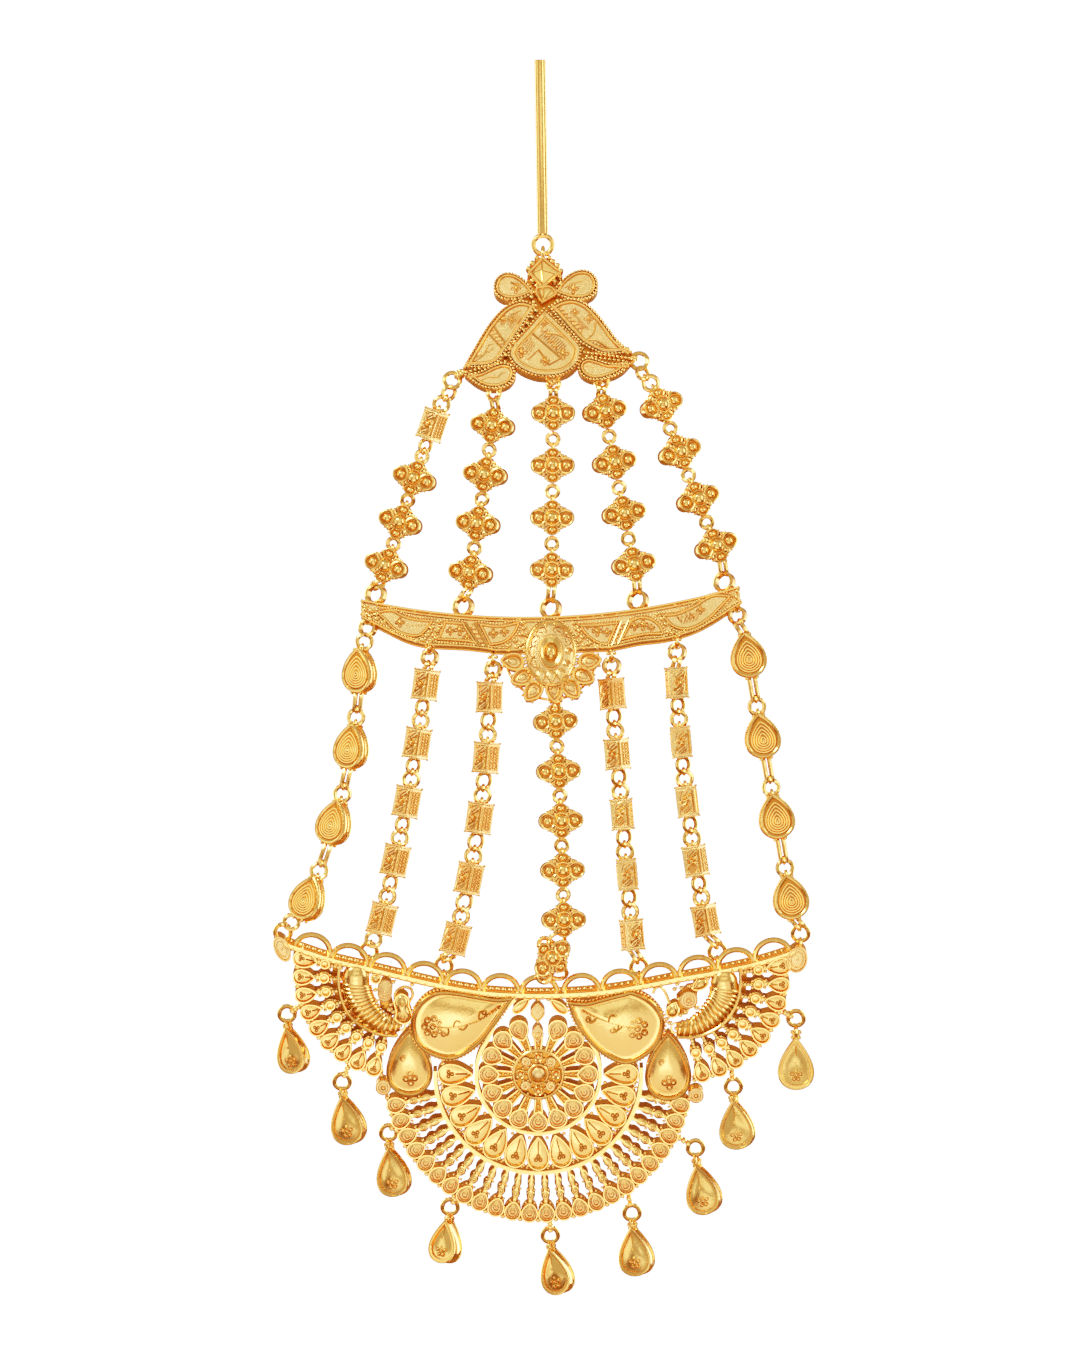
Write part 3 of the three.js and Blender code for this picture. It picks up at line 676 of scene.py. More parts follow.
RING = {"radius": 1.05, "wire": 0.34}
BEADS = {
    "flower": {"shape": FLOWER, "half": 2.6, "ring": 0.85},
    "box": {"shape": BOX, "half": 2.35, "ring": 1.08},
    "drop": {"shape": DROP, "half": 3.25, "ring": 1.1},
}
CROWN_RINGS = table(
    "at radius",
    ((-13.1, -19.1), 1.15), ((-7.1, -21.2), 0.85), ((1.5, -19.7), 0.85), ((8.5, -19.4), 0.85),
    ((13.9, -16.2), 1.2),
)
TOP_RINGS = [{"x": (i - 2) * 12.6, "radius": 1.32, "rise": 1.5} for i in range(5)]
LOW_RINGS = table(
    "at radius",
    ((-26.5, -0.4), 1.15), ((-17.7, -5.1), 1.1), ((-8.6, -7.2), 1.1), ((0.3, -11.6), 0.8),
    ((8.5, -7.3), 1.15), ((18.0, -5.6), 1.15), ((26.9, -0.5), 1.15),
)
FAN_RINGS = [(-36.8, 9.1), (-24.4, 6.3), (-13.6, 4.1), None, (14.6, 3.9), (25.9, 6.2), (37.9, 8.9)]
UPPER = table(
    "kind first last count turn head head_turn",
    ("flower", (-18.1, -60.8), (-22.2, -73.4), 3, (-10, -14), (-15.5, -53.1), -32),
    ("flower", (-6.8, -53.2), (-10.0, -74.4), 4, (-12, -16)),
    ("flower", (1.9, -51.4), (1.7, -74.0), 4, (0, 0)), ("flower", (9.3, -51.1), (13.5, -73.2), 4, (14, 10)),
    ("flower", (17.5, -50.2), (25.4, -70.5), 4, (22, 14)),
)
LOWER = table(
    "kind first last count turn bow tail",
    ("drop", (-26.0, -88.5), (-33.4, -121.4), 4, (-32, -30), 1.45),
    ("box", (-16.5, -90.6), (-22.8, -124.4), 5, (-34, -38), 0.45),
    ("box", (-7.3, -92.4), (-12.2, -127.3), 5, (-36, -42), 1.0),
    ("flower", (2.2, -95.9), (3.4, -124.5), 5, (6, 6), 0.2, (1.8, -130.0)),
    ("box", (10.4, -91.9), (13.3, -126.7), 5, (-44, 18)),
    ("box", (19.7, -90.3), (23.9, -124.6), 5, (14, -34), -0.55),
    ("drop", (30.0, -86.3), (36.1, -121.2), 4, (4, 4)),
)


def bead_places(row, depth):
    """Each bead's kind, middle, direction and turn, down a strand."""
    (x0, z0), (x1, z1) = row["first"], row["last"]
    bow = 4 * row.get("bow", 0)
    places = []
    for i in range(row["count"]):
        s = i / (row["count"] - 1)
        z = z0 + (z1 - z0) * s
        middle = Vector((x0 + (x1 - x0) * s + bow * s * (1 - s), depth(z), z))
        up = Vector((-(x1 - x0 + bow * (1 - 2 * s)), 0, z0 - z1)).normalized()
        places.append((row["kind"], middle, up, row["turn"][0] + (row["turn"][1] - row["turn"][0]) * s))
    if "head" in row:
        x, z = row["head"]
        middle = Vector((x, depth(z), z))
        up = (middle - places[0][1]).normalized()
        places.insert(0, ("box", middle, up, row["head_turn"]))
    if "tail" in row:
        x, z = row["tail"]
        places.append((row["kind"], Vector((x, depth(z) - 1.2, z)), Vector((-1, 0, 1)).normalized(), 0))
    return places


def loops_between(a, b, lap=0.3):
    """Two small loops side by side, which reach a little past both points."""
    a, b = Vector(a), Vector(b)
    reach = (a - b).length + 2 * lap
    middle = (a + b) / 2
    parts = []
    for x in (-0.42, 0.42):
        angle = angles(14)
        loop = np.stack([np.full(14, x), 0.5 * np.cos(angle), reach / 2 * np.sin(angle)], axis=1)
        shape = tube(loop, 0.34, 8, True, up=(1, 0, 0))
        parts.append(moved(shape, along_strand(middle, a - b)))
    return parts


def span(a, b, radius, tilt=0.0, loops=False):
    """What joins two ends of a strand: one ring where they are near, or else a ring with loops above it."""
    a, b = Vector(a), Vector(b)
    length = (a - b).length
    if length < 2 * radius - 0.3:
        return loops_between(a, b)
    down = (b - a) / length
    middle = b - down * (radius - 0.12)
    if length < 2 * radius + 0.7:
        middle = (a + b) / 2
    parts = [moved(ring(radius, RING["wire"], 22, 8), along_strand(middle, a - b, tilt))]
    eyes = [b - down * 0.1]
    if length >= 2 * radius + 0.7:
        top = middle - down * radius
        eyes.append(top)
        if loops:
            parts += loops_between(a, top, 0.25)
        else:
            small = ring((a - top).length / 2 + 0.15, 0.33, 20, 8)
            parts.append(moved(small, along_strand((a + top) / 2, a - b, 38)))
    for eye in eyes:
        parts.append(moved(ring(0.4, 0.28, 12, 7, edge_on=True), along_strand(eye, a - b)))
    return parts


def hang(a, b):
    """A straight line's depth between two points, as a function of height."""
    return lambda z: a[1] + (b[1] - a[1]) * (z - a[2]) / (b[2] - a[2])


def end_of(place, sign):
    kind, middle, up = place[:3]
    return middle + up * (sign * BEADS[kind]["half"])


def strand_parts(row, top, bottom, tilts):
    """A strand's beads in their places, and what joins them from the top point to the bottom one."""
    places = bead_places(row, hang(top, bottom))
    beads = []
    for kind, middle, up, turn in places:
        shape = BEADS[kind]["shape"]
        beads.append(placed({finish: [s] for finish, s in shape.items()}, along_strand(middle, up, turn)))
    joins = [span(top, end_of(places[0], 1), RING["radius"])]
    for i in range(1, len(places)):
        radius = BEADS[places[i][0]]["ring"]
        ends = end_of(places[i - 1], -1), end_of(places[i], 1)
        joins.append(span(*ends, radius, tilts[i % len(tilts)], row["kind"] == "drop"))
    joins.append(span(end_of(places[-1], -1), bottom, RING["radius"]))
    return beads, joins


TILTS = (6, -14, 10, -5, 18)


def joined_strand(side, number, row, top, bottom):
    """A whole strand as one piece."""
    beads, joins = strand_parts(row, top, bottom, TILTS)
    shapes = gather({POLISHED: [s for join in joins for s in join]}, *beads)
    piece(f"{side}_beads_{number}", shapes, stands_for=[f"{side}_strand_{number}"])


def crescent_top(x):
    return CRESCENT_BAR["top_radius"] - math.sqrt(CRESCENT_BAR["top_radius"] ** 2 - x * x)


CRESCENT_BAR = {"top_radius": 108, "half_length": 27.2}


def make_strands():
    for i, row in enumerate(UPPER):
        (x, z), r = CROWN_RINGS[i]["at"], CROWN_RINGS[i]["radius"]
        top = to_world(CROWN, x, z - r)
        x, r, rise = (TOP_RINGS[i][key] for key in ("x", "radius", "rise"))
        bottom = to_world(CRESCENT, x, crescent_top(x) + rise + r)
        joined_strand("upper", i + 1, row, top, bottom)
    for i, row in enumerate(LOWER):
        number = i + 1
        (x, z), r = LOW_RINGS[i]["at"], LOW_RINGS[i]["radius"]
        top = to_world(CRESCENT, x, z - r)
        if FAN_RINGS[i]:
            x, z = FAN_RINGS[i]
            bottom = to_world(FAN, x, z + RING["radius"])
        else:
            bottom = to_world(FAN, 0, 2.75, -1.3)
        if row["kind"] != "drop":
            joined_strand("lower", number, row, top, bottom)
            continue
        beads, joins = strand_parts(row, top, bottom, TILTS)
        for k, bead in enumerate(beads):
            extra = (joins[0] if k == 0 else []) + (joins[-1] if k == len(beads) - 1 else [])
            made = gather(bead, {POLISHED: extra})
            piece(f"coiled_drop_{number}_{k + 1}", made, stands_for=[f"lower_strand_{number}_bead_{k + 1}"])
        for k in range(1, len(beads)):
            piece(
                f"drop_ring_{number}_{k}", {POLISHED: joins[k]},
                stands_for=[f"lower_strand_{number}_ring_{k}"],
            )


def make_stem():
    """A plain round rod, cut flat, with a ring soldered on its lower end."""
    turned = np.array(Matrix.Rotation(math.radians(-0.9), 4, "Y"))
    rod = [(0.76, 0.0), (0.83, -0.08), (0.83, -25.1), (0.7, -25.45)]
    rows = [np.insert(circle(r, 40), 2, z, axis=1) for r, z in rod]
    shapes = [skin(rows, (0, 0, 0), (0, 0, -25.5)), moved(ring(1.36, 0.38, 40, 14), at(0, -26.82))]
    piece("stem", {POLISHED: shapes}, matrix=turned, body="stem", stands_for=["hair_stem"])


# ------------------------------------------------------------------------------------------------
# Plates are built up from these, each a dictionary of shapes by material


def inset(outline, distance):
    """An outline moved in by a distance at every point."""
    p = np.asarray(outline, float)
    along = directions(p)
    inward = np.stack([-along[:, 1], along[:, 0]], axis=1) * np.sign(area(p))
    return p + inward * distance


def steps(outline, profile, back):
    """A solid with straight walls, whose front steps in from its edge. profile is (inset, height)."""
    rows = [flat(outline, back)] + [flat(inset(outline, d), FRONT_Y * h) for d, h in profile]
    middle = np.asarray(outline).mean(axis=0)
    return skin(rows, (middle[0], back, middle[1]), (middle[0], rows[-1][0][1], middle[1]))


def sheet(outline, y, swell=0.12):
    """A thin sheet that swells a little towards its middle."""
    profile = [(1.0, -y)] + [(s, -y + swell * (1 - s * s)) for s in (0.8, 0.55, 0.3, 0.02)]
    return relief(outline, profile, y + 0.15)


def plaque(outline, back, height, border=0.7, floor=0.18, rim=0.13, beads=0.24, spacing=0.5, finish=None):
    """A walled leaf: a row of granules round its edge, a smooth bezel, and a sheet let in below it."""
    outline = np.asarray(outline, float)
    ledge = beads * 1.75
    profile = [(0, height - 0.15), (0.08, height)]
    if beads:
        profile = [
            (0, height - 0.6), (ledge, height - 0.55), (ledge + 0.03, height - 0.06), (ledge + 0.1, height),
        ]
    profile += [(border, height), (border + 0.05, height - floor - 0.15)]
    body = steps(outline, profile, back)
    polished = []
    # The wires in the groove round the sheet and under the granules are painted shade in the darker gold. The
    # body and the sheet are the paler satin gold, painted light, unless another finish is given.
    grooves = [wire(inset(outline, border + 0.14), 0.15, FRONT_Y * (height - floor) + 0.03)]
    if rim:
        polished.append(wire(inset(outline, border), rim, FRONT_Y * height))
    if beads:
        polished.append(granules(inset(outline, beads * 0.7), beads, FRONT_Y * (height - 0.16), spacing))
        grooves.append(wire(inset(outline, beads * 0.85), beads * 0.85, FRONT_Y * (height - 0.42)))
    face = sheet(inset(outline, border + 0.02), FRONT_Y * (height - floor), 0.04)
    return gather({POLISHED: polished, PAINTED_SHADE: grooves}, {finish or SATIN_PAINTED_LIGHT: [body, face]})


def etched(shapes):
    """Drawn lines, as chased in sheet: a copy in painted-shade gold, set down and to the left, gives the dark
    side, and a copy in bright gold, up and to the right, the bright side.
    """
    shapes = list(shapes)
    return {PAINTED_SHADE: moves(shapes, at(-0.05, -0.07, 0.03)),
            POLISHED: moves(shapes, at(0.04, 0.05, -0.05))}


def crossings(outline, point, direction):
    """Where a line enters and leaves an outline, as distances from a point on the line."""
    a = np.asarray(outline, float) - point
    b = np.roll(a, -1, axis=0)
    side = np.array([-direction[1], direction[0]])
    high, low = a @ side, b @ side
    cut = high * low < 0
    share = (high[cut] / (high[cut] - low[cut]))[:, None]
    return sorted((a[cut] + (b[cut] - a[cut]) * share) @ direction)


def hatch(outline, angle, spacing, y, thick=0.055, margin=0.15, keep=(0.0, 1.0)):
    """Fine raised lines across an outline, from one share of its breadth to another."""
    outline = np.asarray(outline, float)
    direction = np.array(polar(1, angle))
    side = np.array([-direction[1], direction[0]])
    reach = outline @ side
    low, high = reach.min(), reach.max()
    out = []
    for offset in np.arange(
        low + (high - low) * keep[0] + spacing / 2, low + (high - low) * keep[1], spacing,
    ):
        cuts = crossings(outline, side * offset, direction)
        for start, end in zip(cuts[::2], cuts[1::2]):
            if end - start > 3 * margin:
                ends = [
                    side * offset + direction * s
                    for s in (start + margin, (start + end) / 2, end - margin)
                ]
                out.append(wire(ends, thick, y, False, 4))
    return out


def line(points, y, thick=0.085, soft=0):
    """A raised line through points in a plate's plane."""
    points = smooth(points, soft, False) if soft else evenly(points, 0.4, False)
    return wire(points, thick * 1.25, y, False, 5)


def zigzag(a, b, width, count, y, thick=0.075):
    a, b = np.array(a, float), np.array(b, float)
    along = (b - a) / count
    side = np.array([-along[1], along[0]]) / np.linalg.norm(along) * width / 2
    points = [a + along * (i + 0.5) + side * (-1) ** i for i in range(count)]
    return wire(points, thick, y, False, 4)


def stamped_flower(x, z, y, size=1.0, petals=4):
    """A stamped flower with pointed petals round a granule."""
    parts = []
    for i in range(petals):
        petal = wire(teardrop(0.55 * size, 0.36 * size, 9), 0.055 * size, 0, True, 4)
        parts.append(moved(moved(petal, at(0, -0.34 * size)), at(x, z, y, 360 * i / petals + 180)))
    return parts + [granules([(x, z)], 0.17 * size, y)]


def flowers(spots, y):
    """Stamped flowers at (x, z, size)."""
    return [part for x, z, size in spots for part in stamped_flower(x, z, y, size)]


def spiral(turns, radius, thick, y=0.0, around=12):
    """A flat coil of wire."""
    a = np.arange(int(turns * around) + 1) / around
    r = radius * (1 - a / turns * 0.92)
    return wire(
        np.stack([r * np.cos(a * 2 * math.pi), r * np.sin(a * 2 * math.pi)], axis=1), thick, y, False, 5,
    )


def edge_ring(x, z, radius, thick=0.35):
    """A ring that faces the front, in the middle of a plate's thickness."""
    return moved(ring(radius, thick, 26, 8), at(x, z))


# ------------------------------------------------------------------------------------------------
# Crown plate

CROWN_BACK = 1.4
LEFT_WING = [
    (-0.8, -8.2), (-0.8, -8.2), (-2.4, -7.4), (-4.0, -7.5), (-5.9, -8.6), (-7.9, -11.0), (-9.6, -13.9),
    (-11.6, -17.6), (-11.6, -17.6), (-8.2, -17.5), (-6.4, -16.8), (-5.4, -15.4), (-5.4, -15.4), (-3.2, -12.0),
]
RIGHT_WING = [
    (0.8, -8.4), (0.8, -8.4), (3.1, -11.2), (5.4, -13.8), (5.4, -13.8), (7.2, -14.9), (9.2, -15.6),
    (13.0, -15.3), (13.0, -15.3), (10.9, -13.4), (9.3, -11.2), (7.7, -9.1), (6.0, -7.6), (4.1, -7.0),
    (2.3, -7.4),
]
SHIELD = [
    (0.2, -8.5), (0.2, -8.5), (-2.3, -11.5), (-4.9, -14.7), (-4.6, -16.6), (-3.2, -18.0), (-1.0, -18.9),
    (1.3, -19.0), (3.4, -18.5), (5.0, -17.1), (5.6, -15.2), (5.3, -13.9), (2.8, -11.1),
]
LEFT_UNDER = [
    (-11.3, -18.6), (-11.3, -18.6), (-9.6, -20.0), (-8.0, -20.7), (-6.2, -20.7), (-4.7, -20.0), (-3.9, -18.6),
    (-4.3, -17.2), (-5.5, -16.7), (-7.0, -17.0), (-9.0, -18.0),
]
RIGHT_UNDER = [
    (12.7, -16.8), (12.7, -16.8), (9.8, -16.8), (7.9, -16.2), (6.5, -15.9), (5.4, -16.4), (5.0, -17.5),
    (5.7, -18.8), (7.4, -19.5), (9.8, -19.0), (11.5, -18.1),
]
CROWN_TIP = [
    (-0.1, -0.8), (-0.1, -0.8), (-2.3, -3.3), (-2.3, -3.3), (-0.1, -5.9), (-0.1, -5.9), (2.8, -3.2),
    (2.8, -3.2),
]
HEART = [
    (-0.15, -8.1), (-0.15, -8.1), (1.1, -7.3), (2.0, -6.6), (1.7, -5.7), (0.9, -5.2), (0.0, -5.3),
    (-1.0, -5.5), (-1.2, -6.3), (-0.8, -7.2),
]
CROWN_BACKING = [
    (-0.6, -0.5), (-2.1, -2.4), (-2.4, -4.2), (-3.4, -7.6), (-6.0, -9.2), (-11.4, -17.7), (-11.0, -18.7),
    (-7.0, -20.0), (-4.9, -18.2), (-3.0, -17.2), (3.4, -16.6), (6.0, -17.4), (8.0, -18.6), (12.5, -16.9),
    (12.8, -15.6), (9.3, -11.8), (5.6, -8.2), (3.2, -7.4), (2.8, -4.4), (2.4, -2.3), (0.9, -0.6),
]
CROWN_SEAMS = table(
    "from to radius spacing",
    ((-0.9, -8.9), (-5.3, -15.6), 0.36, 1.0), ((1.1, -9.4), (5.7, -14.6), 0.3, 1.1),
    ((6.0, -15.2), (12.6, -16.1), 0.3, 0.56), ((6.4, -15.8), (11.6, -16.5), 0.25, 0.6),
    ((-5.4, -16.6), (-11.0, -18.2), 0.28, 0.6), ((-2.2, -5.3), (-1.3, -7.6), 0.34, 0.7),
    ((2.6, -4.8), (2.2, -7.4), 0.34, 0.7), ((-5.2, -7.3), (-3.2, -7.2), 0.3, 0.8),
    ((3.4, -6.9), (5.4, -7.3), 0.3, 0.8),
)
CROWN_SIDE_GRANULES = table(
    "at radius",
    ((-0.9, -0.9), 0.32), ((-1.5, -1.8), 0.42), ((-2.1, -2.6), 0.36), ((-1.9, -3.5), 0.34),
    ((-1.5, -4.4), 0.32), ((-0.9, -5.2), 0.3), ((0.9, -0.9), 0.32), ((1.4, -1.5), 0.38), ((2.1, -2.1), 0.36),
    ((2.6, -2.9), 0.32), ((2.5, -3.8), 0.3), ((1.7, -4.5), 0.3),
)


def anticlockwise(outline):
    p = np.asarray(outline, float)
    return p if area(p) > 0 else p[::-1]


def curve(points, count=5):
    return anticlockwise(smooth(points, count))


def make_crown():
    high = 1.4
    wings = [plaque(curve(w), CROWN_BACK, high, border=0.68) for w in (LEFT_WING, RIGHT_WING)]
    shield = plaque(curve(SHIELD), CROWN_BACK, high + 0.15, border=0.85, beads=0.2)
    inner = inset(curve(SHIELD), 1.15)
    shield[POLISHED].append(wire(inner, 0.13, -high - 0.03))
    unders = [plaque(curve(u), CROWN_BACK - 0.3, high - 0.1, border=0.6) for u in (LEFT_UNDER, RIGHT_UNDER)]
    petals = []
    for tip, end, width in (((-1.1, -6.2), (-7.1, -4.7), 4.3), ((1.4, -6.2), (7.9, -4.3), 4.6)):
        length = math.hypot(tip[0] - end[0], tip[1] - end[1])
        turn = math.degrees(math.atan2(tip[1] - end[1], tip[0] - end[0])) - 90
        place = at((tip[0] + end[0]) / 2, (tip[1] + end[1]) / 2, 0, turn)
        drop = inside(teardrop(length, width, 40, 0.8), place)
        petals.append(plaque(drop, CROWN_BACK, high, border=0.55, beads=0.22))
    tip = plaque(curve(CROWN_TIP, 4), CROWN_BACK, high + 0.4, border=0.3, beads=0, floor=0.1, finish=POLISHED)
    heart = plaque(curve(HEART, 4), CROWN_BACK, high + 0.3, border=0.22, beads=0, floor=0.1, finish=POLISHED)
    fine, grain = [], []
    low, ridge = 0.13 - high, -high - 0.34
    # The tip: a sunk lozenge low on its left, and ridges that run to its corners
    lozenge = [(-1.5, -3.3), (-0.3, -2.8), (-0.1, -5.0), (-1.0, -4.2)]
    fine.append(wire(evenly(lozenge, 0.3), 0.09, ridge, True, 5))
    ridges = ([(-0.1, -5.1), (-0.1, -3.0), (-0.1, -1.7)], [(-0.1, -2.9), (1.9, -3.5)])
    fine += [line(points, ridge) for points in ridges]
    fine += [line([(0, -7.7), end], -high - 0.24) for end in ((0.2, -5.7), (1.3, -5.9), (-0.6, -5.9))]
    for row in CROWN_SIDE_GRANULES:
        grain.append(granules([row["at"]], row["radius"] * 1.3, -high * 0.9))
        grain.append(granules([row["at"]], row["radius"] * 1.2, -0.3))
    for row in CROWN_SEAMS:
        grain.append(granules(evenly([row["from"], row["to"]], row["spacing"], False), row["radius"], -1.05))
    # Petals: a few stamped sprigs
    fine += flowers([(-3.9, -5.6, 1.1), (4.4, -5.6, 1.2)], low)
    fine += [
        line([(-3.2, -5.0), (-4.2, -4.9), (-4.6, -4.6)], low),
        line([(3.2, -5.4), (4.6, -4.7), (5.6, -4.4)], low),
    ]
    # Left wing: a band across its waist with a zigzag in it, and a sprig on each side
    fine += [
        line([(-8.3, -11.9), (-6.9, -13.5), (-5.6, -15.0)], low, 0.09),
        line([(-7.3, -11.0), (-6.3, -12.6), (-5.1, -14.2)], low, 0.09),
    ]
    fine.append(zigzag((-7.8, -11.5), (-5.5, -14.5), 0.7, 12, low))
    fine += [line([(-6.0, -10.2), (-5.2, -10.0), (-4.3, -9.4), (-3.2, -8.9)], low, 0.07, 4)]
    fine += flowers([(-5.8, -10.3, 1.3), (-4.5, -10.4, 0.9)], low)
    fine += hatch([(-4.0, -8.8), (-5.3, -11.2), (-4.6, -12.0), (-3.0, -10.0)], 58, 0.28, low)
    fine += [line([(-9.9, -16.6), (-8.6, -15.7), (-7.9, -14.3), (-7.0, -13.9)], low, 0.07, 4)]
    twig = [(-9.8, -16.1), (-9.0, -15.6), (-8.5, -15.8), (-8.2, -15.1), (-7.6, -15.2), (-7.2, -14.4)]
    fine.append(line(twig, low, 0.06))
    # Right wing: a border along its straight edge, a curved branch, and sprigs
    fine += [
        line([(1.9, -8.6), (3.6, -10.5), (5.6, -12.7)], low, 0.09),
        line([(5.9, -13.9), (6.7, -13.0), (7.4, -12.2), (7.6, -10.7)], low, 0.1, 4),
    ]
    fine.append(zigzag((2.2, -8.4), (5.9, -12.2), 0.6, 14, low))
    fine += [
        line([(6.3, -13.4), (7.6, -13.4), (9.6, -14.7)], low, 0.08),
        zigzag((7.0, -13.9), (10.0, -14.9), 0.5, 11, low),
    ]
    fine += flowers([(6.6, -10.2, 1.1), (4.6, -9.2, 1.0)], low)
    fine += hatch([(4.6, -9.6), (6.0, -11.0), (6.9, -12.0), (5.4, -11.6)], -48, 0.3, low)
    # Shield: lattices and sprigs
    deep = -0.03 - high
    weave = [(-3.4, -13.8), (-1.7, -12.3), (2.6, -16.2), (0.9, -17.2), (-0.6, -14.9), (-2.2, -16.4)]
    fine += [line(pair, deep, 0.08) for pair in zip(weave, weave[1:])]
    fine += hatch([(-2.9, -13.9), (-1.7, -12.9), (-1.1, -14.2), (-2.1, -15.8)], 62, 0.3, deep)
    fine += hatch([(-1.3, -12.6), (0.3, -11.2), (4.2, -14.8), (2.7, -16.0)], 45, 0.36, deep, keep=(0.15, 0.9))
    fine += [
        zigzag((-0.4, -11.4), (2.2, -15.2), 0.7, 10, deep, 0.06),
        line([(0.6, -12.4), (2.0, -12.6), (3.4, -13.3)], deep, 0.07, 4),
    ]
    fine += flowers([(-3.1, -15.3, 1.3), (2.9, -15.5, 1.4), (0.3, -16.6, 1.1), (0.2, -10.9, 0.9)], deep)
    # Under leaves: a sprig and a line of dots
    sprig = [(-8.8, -19.3), (-7.6, -18.9), (-6.6, -19.0), (-6.0, -18.4), (-5.4, -18.2)]
    fine.append(line(sprig, low + 0.1, 0.08, 3))
    fine += [granules([(6.4, -17.3), (7.2, -17.5), (8.0, -17.7), (8.8, -17.8)], 0.1, low + 0.1)]
    rings = [edge_ring(*row["at"], row["radius"]) for row in CROWN_RINGS]
    links = []
    for x, z in ((-12.2, -18.5), (13.1, -15.8), (-7.2, -20.0), (1.4, -19.4), (8.4, -19.0)):
        links += [granules([(x - 0.35, z), (x + 0.35, z), (x, z - 0.3)], 0.32, y) for y in (-0.4, 0.4)]
    # Solder between the left ring and the tip of the wing
    solder = [(-12.3, -18.1), (-11.9, -17.9), (-11.7, -18.3), (-12.1, -18.5), (-11.4, -18.0)]
    links += [granules(solder, 0.42, y) for y in (-0.6, 0.0, 0.6)]
    bail = moved(ring(0.98, 0.3, 24, 8, edge_on=True), at(0, 0))
    # A sheet of painted shade behind the leaves: darker gold seen through the seams, where shade falls.
    backing = relief(anticlockwise(CROWN_BACKING), [(1.0, 0.1), (0.02, 0.1)], 0.9, (0.0, -11.0))
    extra = {POLISHED: grain + rings + links + [bail], PAINTED_SHADE: [backing]}
    made = gather(*wings, shield, *unders, *petals, tip, heart, extra, etched(fine))
    piece("crown", made, CROWN, stands_for=["crown_plate"])


# ------------------------------------------------------------------------------------------------
# Crescent bar

BAR_LOWER = [
    (-27.6, 1.0), (-25.2, -0.3), (-23.6, -1.2), (-21.0, -2.6), (-18.5, -3.4), (-16.0, -3.7), (-12.5, -4.0),
    (-9.0, -4.5), (-6.5, -4.8), (6.5, -4.9), (9.0, -4.8), (12.5, -4.2), (16.0, -3.9), (18.5, -3.4),
    (21.0, -2.6), (23.6, -1.3), (25.2, -0.3), (27.6, 1.1),
]
# From left to right: a wing, a slanting panel and a leaf, then a leaf, a slanting panel and a wing
BAR_PANELS = [
    [
        (-25.5, 1.6), (-25.5, 1.6), (-23.0, 1.9), (-21.3, 1.0), (-19.4, 0.4), (-16.8, 0.1), (-16.8, 0.1),
        (-17.9, -1.4), (-19.2, -2.3), (-21.0, -2.1), (-22.6, -1.3), (-24.0, 0.2),
    ],
    [
        (-15.4, -0.1), (-15.4, -0.1), (-12.6, -0.4), (-12.6, -0.4), (-10.7, -3.7), (-10.7, -3.7),
        (-12.6, -3.3), (-16.6, -2.9), (-16.6, -2.9),
    ],
    [
        (-10.6, -0.5), (-10.6, -0.5), (-7.6, -1.0), (-4.4, -0.5), (-4.4, -0.5), (-5.2, -2.3), (-6.9, -3.7),
        (-9.0, -4.0), (-9.0, -4.0),
    ],
    [
        (3.9, -1.3), (3.9, -1.3), (5.0, -3.1), (6.9, -4.4), (8.3, -4.4), (8.3, -4.4), (9.8, -1.1),
        (9.8, -1.1), (6.7, -1.3),
    ],
    [
        (11.4, -0.9), (11.4, -0.9), (9.7, -4.0), (9.7, -4.0), (13.4, -3.3), (16.2, -3.3), (16.2, -3.3),
        (15.9, -2.0), (14.6, -0.8), (13.0, -0.4),
    ],
    [
        (15.8, -0.2), (15.8, -0.2), (17.2, -2.0), (19.0, -2.7), (21.0, -2.3), (23.0, -1.1), (24.6, 0.4),
        (26.3, 2.2), (26.3, 2.2), (23.4, 2.4), (20.6, 0.9), (18.2, -0.1),
    ],
]
BAR_SLANTS = [
    [(-12.2, -0.6), (-11.1, -0.6), (-9.3, -4.1), (-10.3, -4.0)],
    [(10.1, -1.2), (11.1, -1.1), (9.5, -4.3), (8.6, -4.5)],
]
# Each stamped flower's x, z and size
BAR_FLOWERS = [
    (-14.6, -1.6, 1.0), (-13.2, -1.5, 1.3), (-12.2, -2.6, 1.0), (-8.4, -2.2, 1.1), (-6.8, -2.0, 1.1),
    (-21.8, -0.1, 1.1), (6.6, -2.4, 1.2), (8.0, -2.6, 1.0), (13.2, -1.7, 1.3), (14.4, -2.2, 0.9),
    (12.0, -1.9, 1.0), (21.6, 0.2, 1.0),
]
# Granules that part the panels, and those at the bar's two ends
BAR_CLUSTERS = [
    [(-26.7, 2.4), (-25.9, 1.8), (-26.1, 1.0), (-25.2, 1.2), (-25.1, 0.6), (-24.3, 0.0)],
    [(-18.5, -2.75), (-18.0, -2.2), (-19.1, -2.9), (-17.6, -1.7), (-17.3, -1.1), (-19.6, -3.0)],
    [(-3.9, -3.6), (-4.5, -3.9), (-5.1, -4.3), (-4.0, -4.4), (-3.9, -2.5), (-4.5, -4.6)],
    [(3.3, -1.1), (3.5, -1.9), (3.6, -2.9), (3.9, -3.8), (4.6, -4.4), (3.5, -4.5)],
    [(-16.2, -0.2), (-16.0, -0.9), (-16.6, -1.5), (-17.0, -2.2), (-17.4, -2.9), (-17.8, -3.3), (-16.7, -2.6)],
    [(-4.1, -0.8), (-4.0, -1.6), (-4.5, -2.5), (-5.3, -3.4), (-6.3, -4.1)],
    [(4.0, -2.2), (4.4, -3.2), (5.3, -4.2), (6.4, -4.8)],
    [(15.3, -0.2), (16.0, -0.9), (16.5, -1.7), (17.0, -2.5), (17.4, -3.1), (16.8, -2.9), (18.2, -3.3)],
]
